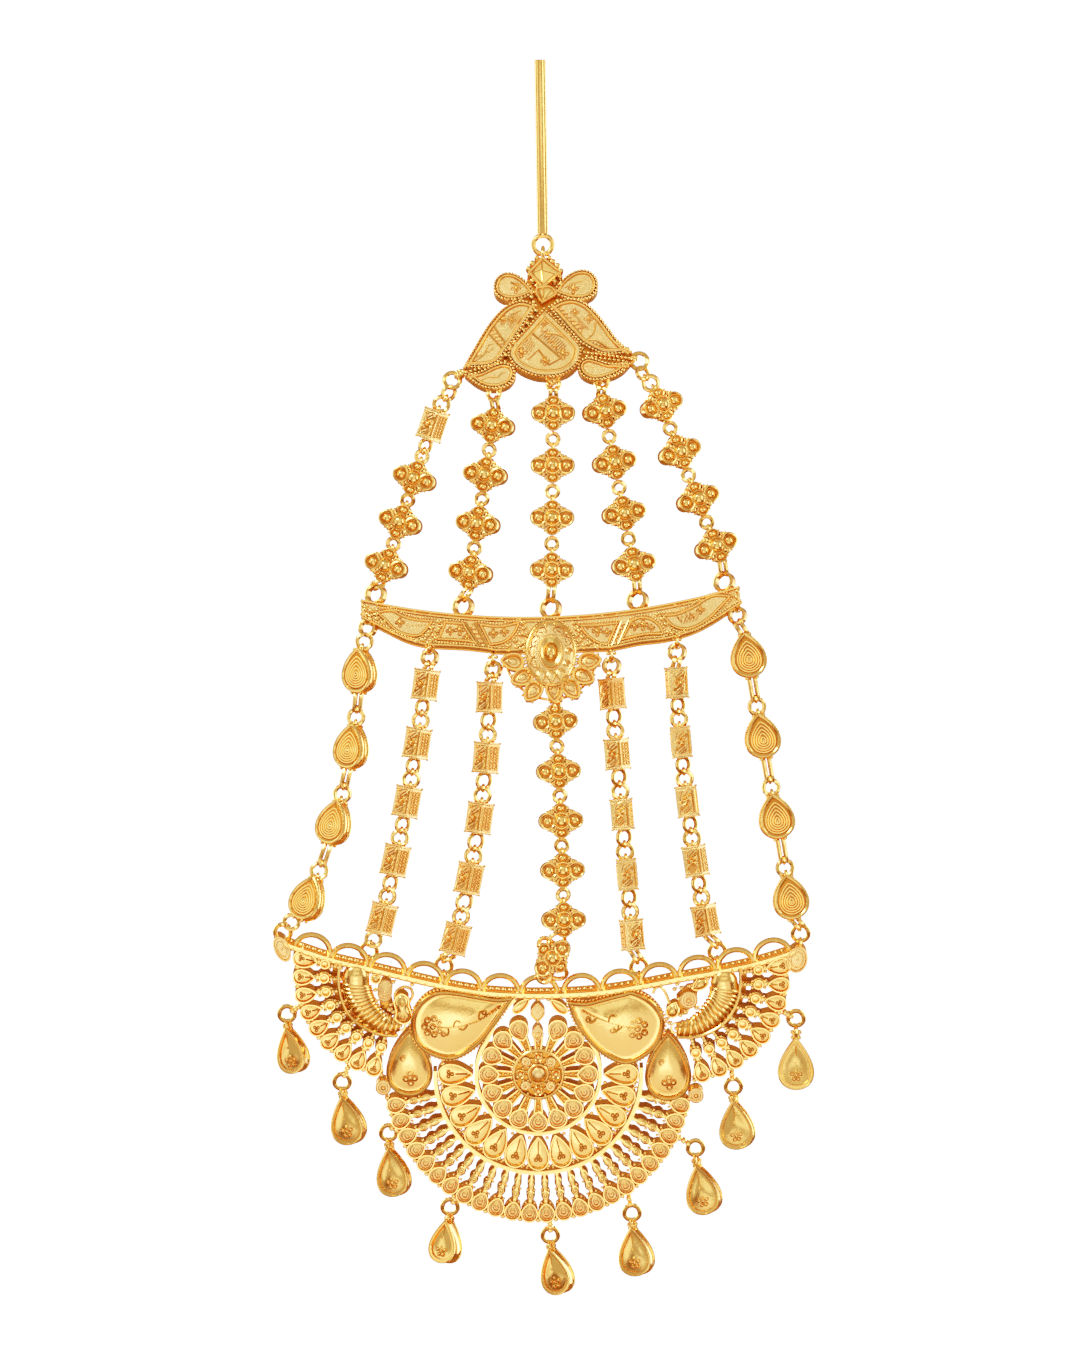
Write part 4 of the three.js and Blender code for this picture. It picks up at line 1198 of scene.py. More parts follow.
BAR_END_GRANULES = [(-26.4, 1.3), (-26.0, 0.5), (26.9, 1.9), (27.0, 2.8), (-27.0, 2.6), (-26.7, 2.0)]
ROSETTE = table(
    "at turn",
    ((-5.8, -6.4), 80), ((-4.5, -8.8), 112), ((-3.0, -10.9), 140), ((0.1, -10.9), 180), ((2.6, -10.7), 215),
    ((4.4, -8.9), 243), ((5.4, -6.7), 276),
)


# The rings on the crescent are turned a little to the left, so that their right walls show
RING_TURN = np.array(Matrix.Rotation(math.radians(-22), 4, "Z"))


def rim_clump(x, z, y, turn=0.0):
    """Three granules and a small loop, where a ring meets an edge."""
    parts = [
        granules([(-0.5, 0), (0.5, 0), (0, -0.45), (0, 0.35)], 0.32, 0),
        moved(ring(0.5, 0.15, 12, 5), at(0, -0.9)),
    ]
    return moves(parts, at(x, z, y, turn))


def make_crescent():
    back, high = 1.3, 1.3
    xs = np.linspace(-27.4, 27.4, 90)
    lower = smooth(BAR_LOWER, 8, False)
    top = np.array([crescent_top(x) for x in xs])
    low = np.interp(xs, lower[:, 0], lower[:, 1])
    floor = 0.35 - high
    section = [
        (0, -high + 0.1, 0), (0, floor, -0.3), (1, floor, 0.25), (1, -high + 0.15, 0), (1, back, 0),
        (0, back, 0),
    ]
    rows = [
        [(x, y, (b if side else t) + dz) for side, y, dz in section]
        for x, t, b in zip(xs, top, low)
    ]
    middle = [(xs[i], 0, (top[i] + low[i]) / 2) for i in (0, -1)]
    polished = [skin(rows, *middle)]
    under = floor - 0.02
    bed = [
        [(x, under, t - 0.25), (x, under, b + 0.2), (x, 0, b + 0.2), (x, 0, t - 0.25)]
        for x, t, b in zip(xs, top, low)
    ]
    bed, deep = skin(bed, *middle), []
    upper_line = np.stack([xs, top], axis=1)
    lower_line = np.stack([xs, low], axis=1)
    polished += [
        wire(upper_line + (0, -0.12), 0.2, -high, False),
        wire(upper_line + (0, 0.05), 0.17, back - 0.3, False),
    ]
    polished.append(wire(upper_line[4:-4] + (0, -0.58), 0.15, -high + 0.1, False))
    polished += [wire(lower_line + (0, 0.1), 0.16, -high, False), wire(lower_line, 0.14, back - 0.3, False)]
    edge = evenly(lower_line, 0.42, False)
    edge = edge[np.abs(edge[:, 0]) > 6]
    polished.append(granules(edge + (0, 0.45), 0.21, -high + 0.08))
    for x in (-24, -18.5, -8.5, -6, 5, 8.5, 19, 22.5):
        z = crescent_top(x) - 0.34
        slope = math.degrees(math.asin(x / CRESCENT_BAR["top_radius"]))
        polished.append(moved(ring(0.75, 0.1, 16, 5), at(x, z, -high, slope) @ np.diag([1.6, 1, 0.28, 1])))
    sets = []
    for panel in BAR_PANELS:
        outline = curve(panel, 5)
        made = plaque(outline, 0, high + 0.12, border=0.2, floor=0.1, rim=0.12, beads=0)
        made[POLISHED].append(granules(inset(outline, -0.24), 0.18, -high + 0.02, 0.42))
        sets.append(made)
    fine, y = [], -high - 0.1
    fine += [line([(-12.3, -0.5), (-10.3, -4.1)], y, 0.11), line([(-11.1, -0.5), (-9.3, -4.2)], y, 0.11)]
    fine += [line([(10.1, -1.1), (8.6, -4.6)], y, 0.06), line([(11.1, -1.0), (9.5, -4.4)], y, 0.06)]
    fine += [zigzag((-11.7, -0.8), (-9.8, -3.9), 0.6, 9, y), zigzag((10.6, -1.3), (9.1, -4.2), 0.5, 9, y)]
    fine += flowers(BAR_FLOWERS, y)
    fine.append(granules(evenly([(-20.8, -0.6), (-18.2, -0.6)], 0.36, False), 0.09, y))
    fine.append(granules(evenly([(-15.4, -2.6), (-12.0, -2.9)], 0.34, False), 0.08, y))
    fine.append(granules(evenly([(11.2, -3.4), (15.6, -2.7)], 0.34, False), 0.08, y))
    fine += [zigzag((4.8, -1.8), (7.6, -2.0), 0.5, 9, y), zigzag((18.2, -1.2), (20.6, -0.4), 1.0, 8, y)]
    fine += hatch([(18.8, -1.9), (19.6, -0.4), (21.8, 0.4), (21.0, -1.4)], 62, 0.35, y, 0.05)
    drawn, fine = fine, []
    for points in BAR_CLUSTERS:
        fine.append(granules(points, 0.34, -high - 0.05))
        fine.append(granules(np.array(points) + (0.33, 0.12), 0.22, -high - 0.15))
    fine.append(granules(BAR_END_GRANULES, 0.34, -high - 0.05))
    # The boss: a low oval mound with a raised bowl, a ball in its middle, and leaves and spirals round it
    bx, bz = -0.2, -5.4
    boss = at(bx, bz)
    oval = circle(3.45, 44, 1.36)
    mound = relief(oval, [(1.0, 1.3), (0.98, 1.6), (0.92, 1.8), (0.8, 1.98), (0.6, 2.1), (0.02, 2.15)], 0.2)
    bowl = relief(
        circle(1.6, 36, 1.55),
        [(1.0, 2.0), (0.99, 2.42), (0.94, 2.55), (0.87, 2.52), (0.6, 2.2), (0.02, 2.1)], 1.9,
    )
    ball_low = relief(circle(0.82, 24, 1.45), dome_profile(0.8, 2.25, 6), 2.1)
    mound, bowl, ball_low = moves((mound, bowl, ball_low), boss)
    polished += [bowl, ball_low, wire(inside(oval, boss), 0.26, -1.4, True, 8)]
    polished.append(granules(inside(circle(3.85, 44, 1.34), boss), 0.2, -1.25, 0.46))
    # The dot, the wires round the ball and the bowl, and the leaves round the boss are drawn in painted
    # shade, the darker gold.
    deep.append(granules([(bx, bz)], 0.16, -2.98))
    deep.append(wire(inside(circle(0.92, 24, 1.42), boss), 0.12, -2.28, True, 5))
    deep.append(wire(inside(circle(1.78, 30, 1.5), boss), 0.14, -2.0, True, 5))
    for degrees in (28, 62, 122, 152, 178, 206, 238):
        a = math.radians(degrees)
        spot = at(
            bx + 2.55 * math.cos(a), bz + 3.55 * math.sin(a), 0,
            math.degrees(math.atan2(1.4 * math.sin(a), math.cos(a))),
        )
        deep.append(wire(inside(teardrop(1.7, 1.25, 18, 0.6), spot), 0.075, -2.04, True, 5))
        deep.append(wire(inside([(-0.15, -0.4), (0.05, 0.35)], spot), 0.07, -2.08, False, 5))
    for degrees in (0, 268, 302, 330):
        a = math.radians(degrees)
        fine.append(
            moved(spiral(1.8, 0.6, 0.13, 0, 10), at(bx + 2.55 * math.cos(a), bz + 3.6 * math.sin(a), -2.04))
        )
    dots = [(bx + 2.4, bz + 2.7), (bx - 0.6, bz + 4.0), (bx - 2.2, bz - 2.0), (bx + 0.7, bz + 4.1)]
    fine.append(granules(dots, 0.26, -2.0))
    sheet = [mound]
    for x, z in ((bx - 1.5, bz - 3.55), (bx - 0.05, bz - 3.7), (bx + 1.3, bz - 3.45)):
        leaf = inside(teardrop(1.7, 1.15, 18, 0.6), at(x, z, 0, 180))
        sheet.append(relief(leaf, [(1.0, 2.3), (0.9, 2.35), (0.5, 2.45)], 1.4))
        fine.append(wire(leaf, 0.12, -2.35, True, 5))
    # Open petals round the lower half of the boss, each with granules at its tip
    for row in ROSETTE:
        place = at(*row["at"], 0, row["turn"])
        drop = teardrop(3.2, 2.35, 28, 0.5)
        parts = [
            relief(drop, [(1.0, 1.1), (0.97, 1.3), (0.86, 1.3), (0.8, 1.0)], 0.6),
            wire(drop, 0.19, -1.25, True, 6),
        ]
        parts.append(
            granules([(0, -1.75), (-0.5, -1.6), (0.5, -1.6), (-0.85, 1.25), (0.85, 1.25)], 0.26, -0.9)
        )
        inner = inset(drop, 0.34)
        polished += moves(parts, place)
        sheet.append(moved(relief(inner, [(1.0, 0.95), (0.9, 1.02), (0.6, 1.16), (0.02, 1.2)], 0.7), place))
        # The petals' grooves are painted shade in the darker gold.
        grooves = [wire(inner, 0.085, -0.98, True, 5), wire(inner * 0.5, 0.085, -1.16, True, 5)]
        deep += moves(grooves, place)
    for outline in BAR_SLANTS:
        sheet.append(
            relief(anticlockwise(outline), [(1.0, high - 0.1), (0.96, high + 0.06), (0.02, high + 0.06)], 0.5)
        )
    hoop = [polar(7.1, a, (bx, bz + 0.6)) for a in range(190, 352, 6)]
    hoop = np.array(hoop) * (0.95, 1.0)
    polished += [
        wire(hoop, 0.22, 0.2, False), wire(inside(hoop, at(bx * 0.1, -1.2, 0, 0, 0.75)), 0.22, 0.1, False),
    ]
    rings = []
    for row in TOP_RINGS:
        z = crescent_top(row["x"]) + row["rise"]
        rings.append(moved(tube_ring(row["radius"], 0.26, 1.3), at(row["x"], z, 0.1) @ RING_TURN))
        fine.append(granules([(row["x"] - 0.4, z - 1.45), (row["x"] + 0.4, z - 1.45)], 0.24, -0.5))
    for row in LOW_RINGS:
        (x, z), r = row["at"], row["radius"]
        rings.append(moved(tube_ring(r, 0.24, 1.0), at(x, z, 0.1) @ RING_TURN))
        if abs(x) > 1:
            fine += rim_clump(x, z + r + 0.55, -0.7)
            rings.append(moved(ring(0.8, 0.25, 14, 7, edge_on=True), at(x, z + r + 0.5)))
    # Bright gold for the frame and the granules, the darker gold's painted shade in the grooves, and the
    # paler satin gold, painted light, for the sheets and the bed.
    sets += [{POLISHED: polished + fine + rings, PAINTED_SHADE: deep, SATIN_PAINTED_LIGHT: sheet + [bed]}, etched(drawn)]
    piece("crescent", gather(*sets), CRESCENT, stands_for=["crescent_bar"])


# ------------------------------------------------------------------------------------------------
# Fan plate: open work of walled cups held between rings. It is built 0.42 mm high on its front side,
# because its outlines are those of its front edges and it leans back at the foot

FRONT = 1.7
LIFT = np.array(Matrix.Translation((0, 0, 0.42)))
HUB = (0.05, -12.3)
RAIL = [
    (-36.6, 7.5), (-30.1, 5.2), (-24.9, 3.9), (-19.3, 2.5), (-13.8, 1.2), (-8.3, 0.2), (-2.7, -0.2),
    (3.1, -0.2), (8.9, 0.2), (14.7, 1.1), (20.2, 2.2), (25.6, 3.2), (31.4, 4.5), (37.0, 6.3),
]
ARCHES = [-32.6, -27.3, -21.8, -16.4, -10.9, -5.4, 0.2, 6.3, 11.9, 17.5, 23.1, 28.6, 33.9]
LEFT_PAISLEY = [
    (-3.7, -0.7), (-3.7, -0.7), (-6.0, -0.9), (-8.7, -0.5), (-11.5, 0.0), (-13.9, 0.2), (-15.8, -0.4),
    (-17.4, -1.9), (-18.2, -4.0), (-18.0, -6.3), (-16.9, -8.2), (-14.6, -9.5), (-12.5, -9.8), (-10.6, -9.1),
    (-8.3, -7.3), (-6.3, -4.7), (-4.7, -2.3),
]
RIGHT_PAISLEY = [
    (4.4, -1.3), (4.4, -1.3), (5.1, -3.4), (6.2, -5.5), (8.0, -7.8), (10.3, -9.6), (13.0, -10.5),
    (16.1, -8.9), (17.6, -6.9), (18.2, -4.5), (17.7, -2.8), (16.1, -1.0), (13.7, 0.1), (12.4, -0.1),
    (9.7, -0.8), (7.0, -1.5),
]
SIDES = table(
    "name centre first step reach shrink horn",
    (
        "left", (-19.35, 1.6), 166.5, 10.6, 14.7, 0.011,
        [(-26.3, 2.3), (-26.2, 0.6), (-25.7, -1.2), (-24.4, -3.2), (-22.3, -4.7), (-19.9, -5.0)],
    ),
    (
        "right", (19.8, 1.45), 9.4, -10.4, 15.2, 0.010,
        [(26.9, 1.5), (27.0, 0.0), (26.4, -1.7), (24.8, -3.7), (22.5, -5.2), (20.0, -5.4)],
    ),
)
# The horn's depth, and its radius from its head to its mouth
HORN_Y = -1.25
HORN_RADIUS = [1.95, 2.0, 1.95, 1.8, 1.45, 0.95]
EDGE_RINGS = [
    (-36.3, -3.2), (-28.4, -13.45), (-21.7, -21.2), (-12.8, -32.5), (1.8, -36.8), (13.7, -33.4),
    (22.9, -23.5), (28.35, -14.15), (37.35, -3.9),
]
EDGE_ROOTS = [
    (-34.6, -2.1), (-27.6, -11.3), (-20.65, -19.6), (-11.8, -30.8), (1.8, -35.0), (13.1, -30.4),
    (20.55, -21.98), (28.05, -11.5), (35.75, -3.0),
]


def fence(path, thick, front, back, closed=False):
    """A thin wall that stands along a curve, from front to back."""
    p = np.asarray(path, float)
    along = directions(p, closed)
    side = np.stack([-along[:, 1], along[:, 0]], axis=1) * thick / 2
    near, far = p + side, p - side
    rows = np.stack([flat(near, front), flat(near, back), flat(far, back), flat(far, front)], axis=1)
    ends = [(*row.mean(axis=0),) for row in (rows[0], rows[-1])]
    return skin(rows, loop=True) if closed else skin(rows, *ends)


def rail_height(x):
    return np.interp(x, [p[0] for p in RAIL], [p[1] for p in RAIL])


def facing(radius, angle, centre=HUB):
    """A place on a circle, with its top turned to the centre."""
    return at(*polar(radius, angle, centre), 0, angle + 90)


def walled_drop(length, width, front, back, dish=0.35, rim=0.13, count=28, belly=0.8, stamp=0.8):
    """A cup like a drop: straight walls, a wire rim, a sunk floor that swells, and a stamped flower."""
    outline = teardrop(length, width, count, belly)
    cup = relief(outline, dish_profile(front, front - dish, front - dish * 0.7, 5), back)
    parts = [cup, wire(outline * (1 - rim / width), rim, -front, True, 6)]
    # The stamp's rings and line are given back apart, and go into the painted-shade gold.
    stamped = []
    if stamp:
        low = -0.16 * length
        y = -front + dish * 0.4
        for i in range(3):
            spot = polar(0.36 * stamp, 90 + 120 * i, (0, low))
            stamped.append(moved(ring(0.26 * stamp, 0.085 * stamp, 10, 5), at(*spot, y)))
            parts.append(granules([spot], 0.15 * stamp, y - 0.05))
        stamped.append(line([(0, low + 0.8 * stamp), (0, length * 0.34)], y, 0.09))
    return parts, stamped


def coiled_cup(length, width, front, back, turns=4, count=24):
    """A round cup with a short tip, filled with loops of wire, one inside another."""
    outline = teardrop(length, width, count, 0.45)
    steps_in = [
        (1.0, front - 0.1), (0.9, front - 0.05), (0.82, front - 0.2), (0.5, front - 0.1), (0.02, front),
    ]
    cup = [relief(outline, steps_in, back)]
    coil = [wire(outline * 0.93, 0.17, -front + 0.06, True, 6)]
    for i in range(1, turns):
        coil.append(wire(outline * (0.93 - 0.93 * i / turns), 0.11, -front + 0.1 - 0.04 * i, True, 5))
    return cup, coil + [granules([(0, 0)], 0.2, -front - 0.02)]


def strap(profile, front, back, swell=0.12):
    """A bar along +Z, as wide at each height as the profile says, with a rounded front."""
    rows = []
    for z, half in profile:
        edge = front + swell
        rows.append(
            [
                (half, back), (half, edge), (half * 0.6, front), (-half * 0.6, front), (-half, edge),
                (-half, back),
            ]
        )
        rows[-1] = [(x, y, z) for x, y in rows[-1]]
    middle = (front + back) / 2
    return skin(rows, (0, middle, profile[0][0]), (0, middle, profile[-1][0]))


def bar(start, end, foot, head, front, back):
    """A spoke along +Z: a sunk web between two bright wires, with granules down its middle. The web is
    painted shade, in the darker gold.
    """
    outline = np.array([(foot / 2, start), (head / 2, end), (-head / 2, end), (-foot / 2, start)])
    web = relief(outline, [(1.0, -front - 0.25)], back, outline.mean(axis=0))
    edges = [
        wire([(s * foot / 2, start), (s * head / 2, end)], 0.17, front + 0.15, False, 6)
        for s in (-1, 1)
    ]
    edges.append(granules(evenly([(0, start + 0.2), (0, end)], 0.55, False), 0.22, front + 0.12))
    return [web], edges


def deep_ring(path, wall, front=-FRONT, back=1.0, closed=False):
    """A deep band with a flat polished edge at its front, rounded off on both sides."""
    wide = fence(path, wall - 0.12, front - 0.1, back, closed)
    return [wide, fence(path, wall, front - 0.02, back, closed)]


ARCH = {"half": 2.6, "radius": 2.55, "rise": 2.3, "wire": 0.43}


def make_rail():
    xs = np.linspace(-36.6, 37.0, 100)
    curve_line = smooth(RAIL, 8, False)
    z = np.interp(xs, curve_line[:, 0], curve_line[:, 1])
    section = [(-FRONT, -0.55), (-FRONT, 0), (FRONT, 0), (FRONT, -0.55)]
    rows = [[(x, y, h + rise) for y, rise in section] for x, h in zip(xs, z)]
    strip = skin(rows, (xs[0], 0, z[0] - 0.27), (xs[-1], 0, z[-1] - 0.27))
    front_line = np.stack([xs, z], axis=1)
    parts = [strip, fence(front_line - (0, 0.1), 0.34, -FRONT - 0.1, -FRONT + 0.4)]
    parts += [
        wire(front_line + (0, -0.62), 0.1, -FRONT, False, 5), wire(front_line, 0.16, FRONT - 0.1, False, 6),
    ]
    parts += [wire(front_line + (0, 0.08), 0.2, y, False, 6) for y in (-0.75, 0.5)]
    parts.append(granules(evenly(front_line + (0, 0.1), 0.9, False), 0.3, -0.1))
    parts.append(granules(evenly(front_line, 1.3, False) + (0, -0.55), 0.28, -FRONT + 0.1))
    for x in ARCHES:
        left, right = rail_height(x - ARCH["half"]), rail_height(x + ARCH["half"])
        slope = math.degrees(math.atan2(right - left, 2 * ARCH["half"]))
        t = np.linspace(-0.08, 1.08, 24) * math.pi
        arch = np.stack([ARCH["radius"] * np.cos(t), ARCH["rise"] * np.sin(t) + 0.1], axis=1)
        place = at(x, (right + left) / 2, 0, slope)
        parts.append(wire(inside(arch, place), ARCH["wire"], -0.95, False, 9))
        foot = inside([(2.62, 0.0)], place)
        parts.append(granules(foot, 0.36, -1.3))
    return parts


WHEEL = {"spokes": 16, "spoke_step": 22.5, "cups": 7.15, "hoop": 9.0, "petals": 13, "petal_step": -15.0,
         "petals_at": 12.0, "granules": 14.35, "rim": 14.95}
FRINGE = {"rays": 24, "first": -12.8, "step": -6.72, "discs": 21.05, "shelf": 21.6, "gaps": 22.2}
HUB_DOME = [(1.0, 1.15), (0.94, 1.42), (0.8, 1.6), (0.55, 1.74), (0.28, 1.82), (0.02, 1.85)]


def make_wheel():
    x, z = HUB
    front, back = -FRONT, 1.0
    bright, deep, satin_painted_light = [], [], []
    # Painted shade in the darker gold: the hub's sunk disc, the spoke webs and the stamps. The satin cups and
    # discs are the paler gold, painted light.
    deep.append(moved(relief(circle(3.7, 40), [(1.0, 0.9), (0.98, 1.0), (0.3, 1.1)], 0.8), at(x, z)))
    satin_painted_light.append(moved(relief(circle(1.1, 28), HUB_DOME, -1.0), at(x, z)))
    bright.append(moved(ring(1.42, 0.15, 30, 7), at(x, z, -1.5)))
    bright.append(moved(ring(3.62, 0.22, 48, 7), at(x, z, -1.5)))
    bright.append(granules([polar(3.95, a, HUB) for a in np.arange(0, 360, 5.8)], 0.18, -1.15))
    bright.append(granules([polar(1.78, a, HUB) for a in np.arange(11.25, 360, 22.5)], 0.2, -1.3))
    for i in range(8):
        place = at(*polar(2.58, 45 * i, HUB), 0, 45 * i)
        if i % 2 == 0:
            face = [(1.0, 1.6), (0.86, 1.7), (0.7, 1.6), (0.64, 1.25), (0.05, 1.2)]
            cup = relief(circle(0.72, 18), face, -1.0)
            bright += [moved(cup, place), moved(granules([(0, 0)], 0.42, -1.35), place)]
        else:
            satin_painted_light.append(moved(relief(circle(0.76, 18), [(1.0, 1.4), (0.9, 1.5), (0.02, 1.55)], -1.0), place))
            bright.append(moved(spiral(1.6, 0.68, 0.08, -1.55, 10), place))
            bright.append(moved(granules([(0, 0)], 0.16, -1.58), place))
        bright.append(moved(granules([(0.55, 1.0), (-0.4, 0.98)], 0.22, -1.35), place))
    for i in range(WHEEL["spokes"]):
        angle = 90 + WHEEL["spoke_step"] * i
        web, edges = bar(3.8, 6.2, 0.75, 1.25, front, back)
        deep += moves(web, at(x, z, 0, angle - 90))
        bright += moves(edges, at(x, z, 0, angle - 90))
        if i == 0:
            continue
        length = 3.3 if i in (1, 15) else 3.1
        cup, coil = coiled_cup(length, 2.8, FRONT, back, 3)
        satin_painted_light += moves(cup, facing(WHEEL["cups"], angle))
        bright += moves(coil, facing(WHEEL["cups"], angle))
    for centre_z, length, width in ((-3.0, 3.0, 2.1), (-6.1, 2.6, 1.6)):
        tall, wide = length / 2, width / 2
        lozenge = smooth([(0, tall), (0, tall), (-wide, 0), (0, -tall), (0, -tall), (wide, 0)], 6)
        cup = relief(lozenge, [(1.0, 1.6), (0.85, 1.7), (0.75, 1.5), (0.02, 1.6)], back)
        parts = [cup, wire(lozenge * 0.95, 0.12, -1.7, True, 6), granules([(0, 0)], 0.2, -1.6)]
        satin_painted_light += moves(parts, at(x - 0.1, centre_z))
    # The pointed hoop round the wheel, and the round one outside the petals
    arc = [polar(WHEEL["hoop"], a, HUB) for a in np.arange(36, -217, -4.0)]
    hoop = smooth([(4.3, -1.3), (5.6, -3.4)] + arc[::3] + [(-5.4, -3.3), (-3.3, -1.0)], 6, False)
    bright += deep_ring(hoop, 0.52)
    half_turn = np.arange(4, -185, -3.0)
    outer = [polar(WHEEL["rim"], a, HUB) for a in half_turn]
    bright += deep_ring(outer, 0.56)
    inner = [polar(WHEEL["granules"], a, HUB) for a in half_turn]
    bright.append(granules(evenly(inner, 0.75, False), 0.2, -1.3))
    for i in range(WHEEL["petals"]):
        angle = WHEEL["petal_step"] * i
        gap = angle + WHEEL["petal_step"] / 2
        petal, stamped = walled_drop(5.2, 3.2, FRONT, back, 0.4, 0.16, 32, 0.85, 1.0)
        bright += moves(petal, facing(WHEEL["petals_at"], angle))
        deep += moves(stamped, facing(WHEEL["petals_at"], angle))
        spots = [polar(9.75, gap, HUB), polar(14.0, gap - 1.2, HUB), polar(14.0, gap + 1.2, HUB)]
        bright.append(granules(spots, 0.3, -1.4))
    return {POLISHED: bright, PAINTED_SHADE: deep, SATIN_PAINTED_LIGHT: satin_painted_light}


RAY = [
    # Distance from the hub, and half the width of a ray there: a foot, an oval and a round bead
    (15.0, 0.34), (15.3, 0.36), (15.6, 0.24), (15.9, 0.3), (16.3, 0.5), (16.8, 0.58), (17.3, 0.46),
    (17.6, 0.28), (17.8, 0.3), (18.05, 0.52), (18.5, 0.66), (18.95, 0.52), (19.2, 0.3), (19.9, 0.4),
]


def make_rays():
    """The fringe: rays that swell to an oval and a bead, each with a disc of wire loops at its end."""
    front, back = -FRONT, 1.2
    bright, deep, satin_painted_light = [], [], []
    for i in range(FRINGE["rays"]):
        angle = FRINGE["first"] + FRINGE["step"] * i
        turn = at(*HUB, 0, angle - 90)
        # The ray's body behind its bright front strap is painted shade in the darker gold; the discs' cups
        # are the paler satin gold, painted light.
        deep.append(moved(strap(RAY, front + 0.35, back), turn))
        bright.append(moved(strap([(z, half - 0.03) for z, half in RAY], front + 0.15, front + 0.45), turn))
        pairs = [(-0.5, 17.6), (0.5, 17.6), (-0.66, 19.55), (0.66, 19.55)]
        bright.append(moved(granules(pairs, 0.24, front + 0.3), turn))
        deep.append(moved(moved(ring(0.2, 0.07, 10, 5), at(0, 18.5, front + 0.13)), turn))
        cup, coil = coiled_cup(3.0, 2.42, FRONT, back, 3, 20)
        satin_painted_light += moves(cup, facing(FRINGE["discs"], angle))
        bright += moves(coil, facing(FRINGE["discs"], angle))
    gaps = [FRINGE["first"] + FRINGE["step"] * (i - 0.5) for i in range(FRINGE["rays"] + 1)]
    between = [polar(FRINGE["gaps"], angle, HUB) for angle in gaps]
    bright += [granules(between, 0.38, front + 0.2), granules(between, 0.38, front + 1.0)]
    shelf = [polar(FRINGE["shelf"], a, HUB) for a in np.arange(-10, -171, -3.0)]
    bright.append(fence(shelf, 0.35, -0.6, 1.0))
    return {POLISHED: bright, PAINTED_SHADE: deep, SATIN_PAINTED_LIGHT: satin_painted_light}


def leaf_spray(points, y, leaves, rings):
    """A dotted stem with a flower of stamped circles, and curled leaves. Gives grooves, in painted-shade
    gold, then granules.
    """
    stem = smooth(points, 6, False)
    spots = [points[0]] + [polar(1.2, 30 + 300 * i / (rings - 1), points[0]) for i in range(rings)]
    circles, dots = stamp(spots, 0.46, y)
    grooves = [wire(stem, 0.13, y, False, 5)] + circles
    bright = [granules(evenly(stem, 0.5, False), 0.17, y - 0.08)] + dots
    curl = line([(0, 0), (0.1, 0.6), (0.45, 1.0), (0.9, 0.9)], y, 0.16, 4)
    for x, z, turn in leaves:
        place = at(x, z, 0, turn)
        grooves += [moved(curl, place), moved(ring(0.34, 0.12, 12, 5), place @ at(0.95, 0.75, y))]
        bright.append(moved(granules([(0.95, 0.75)], 0.2, y - 0.05), place))
    return grooves, bright


PAISLEY_FACE = [
    (1.0, 1.9), (0.985, 2.15), (0.95, 2.15), (0.925, 1.9), (0.88, 1.84), (0.78, 1.95), (0.64, 2.11),
    (0.5, 2.24), (0.35, 2.33), (0.2, 2.38), (0.02, 2.4),
]
SPRAYS = table(
    "stem leaves",
    ([(-15.2, -4.9), (-12.4, -5.0), (-9.0, -4.2), (-6.6, -2.8), (-5.4, -2.0)],
     [(-10.2, -4.6, 160), (-12.2, -5.0, 0), (-8.4, -3.8, 20), (-13.0, -5.0, 200)]),
    ([(14.4, -5.2), (11.4, -4.6), (8.6, -3.6), (6.4, -2.6)],
     [(12.2, -4.8, 150), (10.2, -4.2, 0), (11.6, -4.6, 190), (8.4, -3.5, 160)]),
)


def make_paisleys():
    # deep holds painted shade in the darker gold: the grooves of the sprays and the stamps.
    bright, deep = [], []
    back = 1.0
    for outline in (LEFT_PAISLEY, RIGHT_PAISLEY):
        edge = curve(outline, 6)
        bright.append(relief(edge, PAISLEY_FACE, back, edge.mean(axis=0)))
        bright += [wire(inset(edge, 0.1), 0.27, -2.12, True, 8), wire(inset(edge, 0.5), 0.1, -2.08, True, 5)]
        bright.append(granules(inset(edge, -0.28), 0.22, -1.6, 0.55))
    for row in SPRAYS:
        grooves, grains = leaf_spray(row["stem"], -2.27, row["leaves"], 7)
        deep += grooves
        bright += grains
    for x, z_top, z_low, width in ((-18.6, -5.5, -15.4, 6.5), (18.85, -6.0, -16.1, 6.5)):
        length = z_top - z_low
        outline = teardrop(length, width, 44, 0.85)
        place = at(x, (z_top + z_low) / 2)
        bright.append(moved(relief(outline, [(s, h - 0.25) for s, h in PAISLEY_FACE], back), place))
        bright += [moved(wire(inset(outline, 0.1), 0.25, -1.88, True, 8), place)]
        bright += [moved(wire(inset(outline, 0.45), 0.09, -1.84, True, 5), place)]
        grooves, grains = stamp(
            [(0.1, -1.5), (-0.5, -2.4), (0.75, -2.3), (0.2, -3.0), (-0.9, 0.7)], 0.46, -2.05,
        )
        deep += moves(grooves, place)
        bright += moves(grains, place)
    return {POLISHED: bright, PAINTED_SHADE: deep}


SPOKE = [
    # Distance beyond its cup, and half the width of a wing's spoke there
    (-2.7, 0.36), (-1.2, 0.3), (-0.9, 0.34), (-0.65, 0.68), (-0.2, 0.9), (0.2, 0.9), (0.65, 0.66),
    (0.95, 0.36),
    (1.5, 0.34), (2.1, 0.7),
]


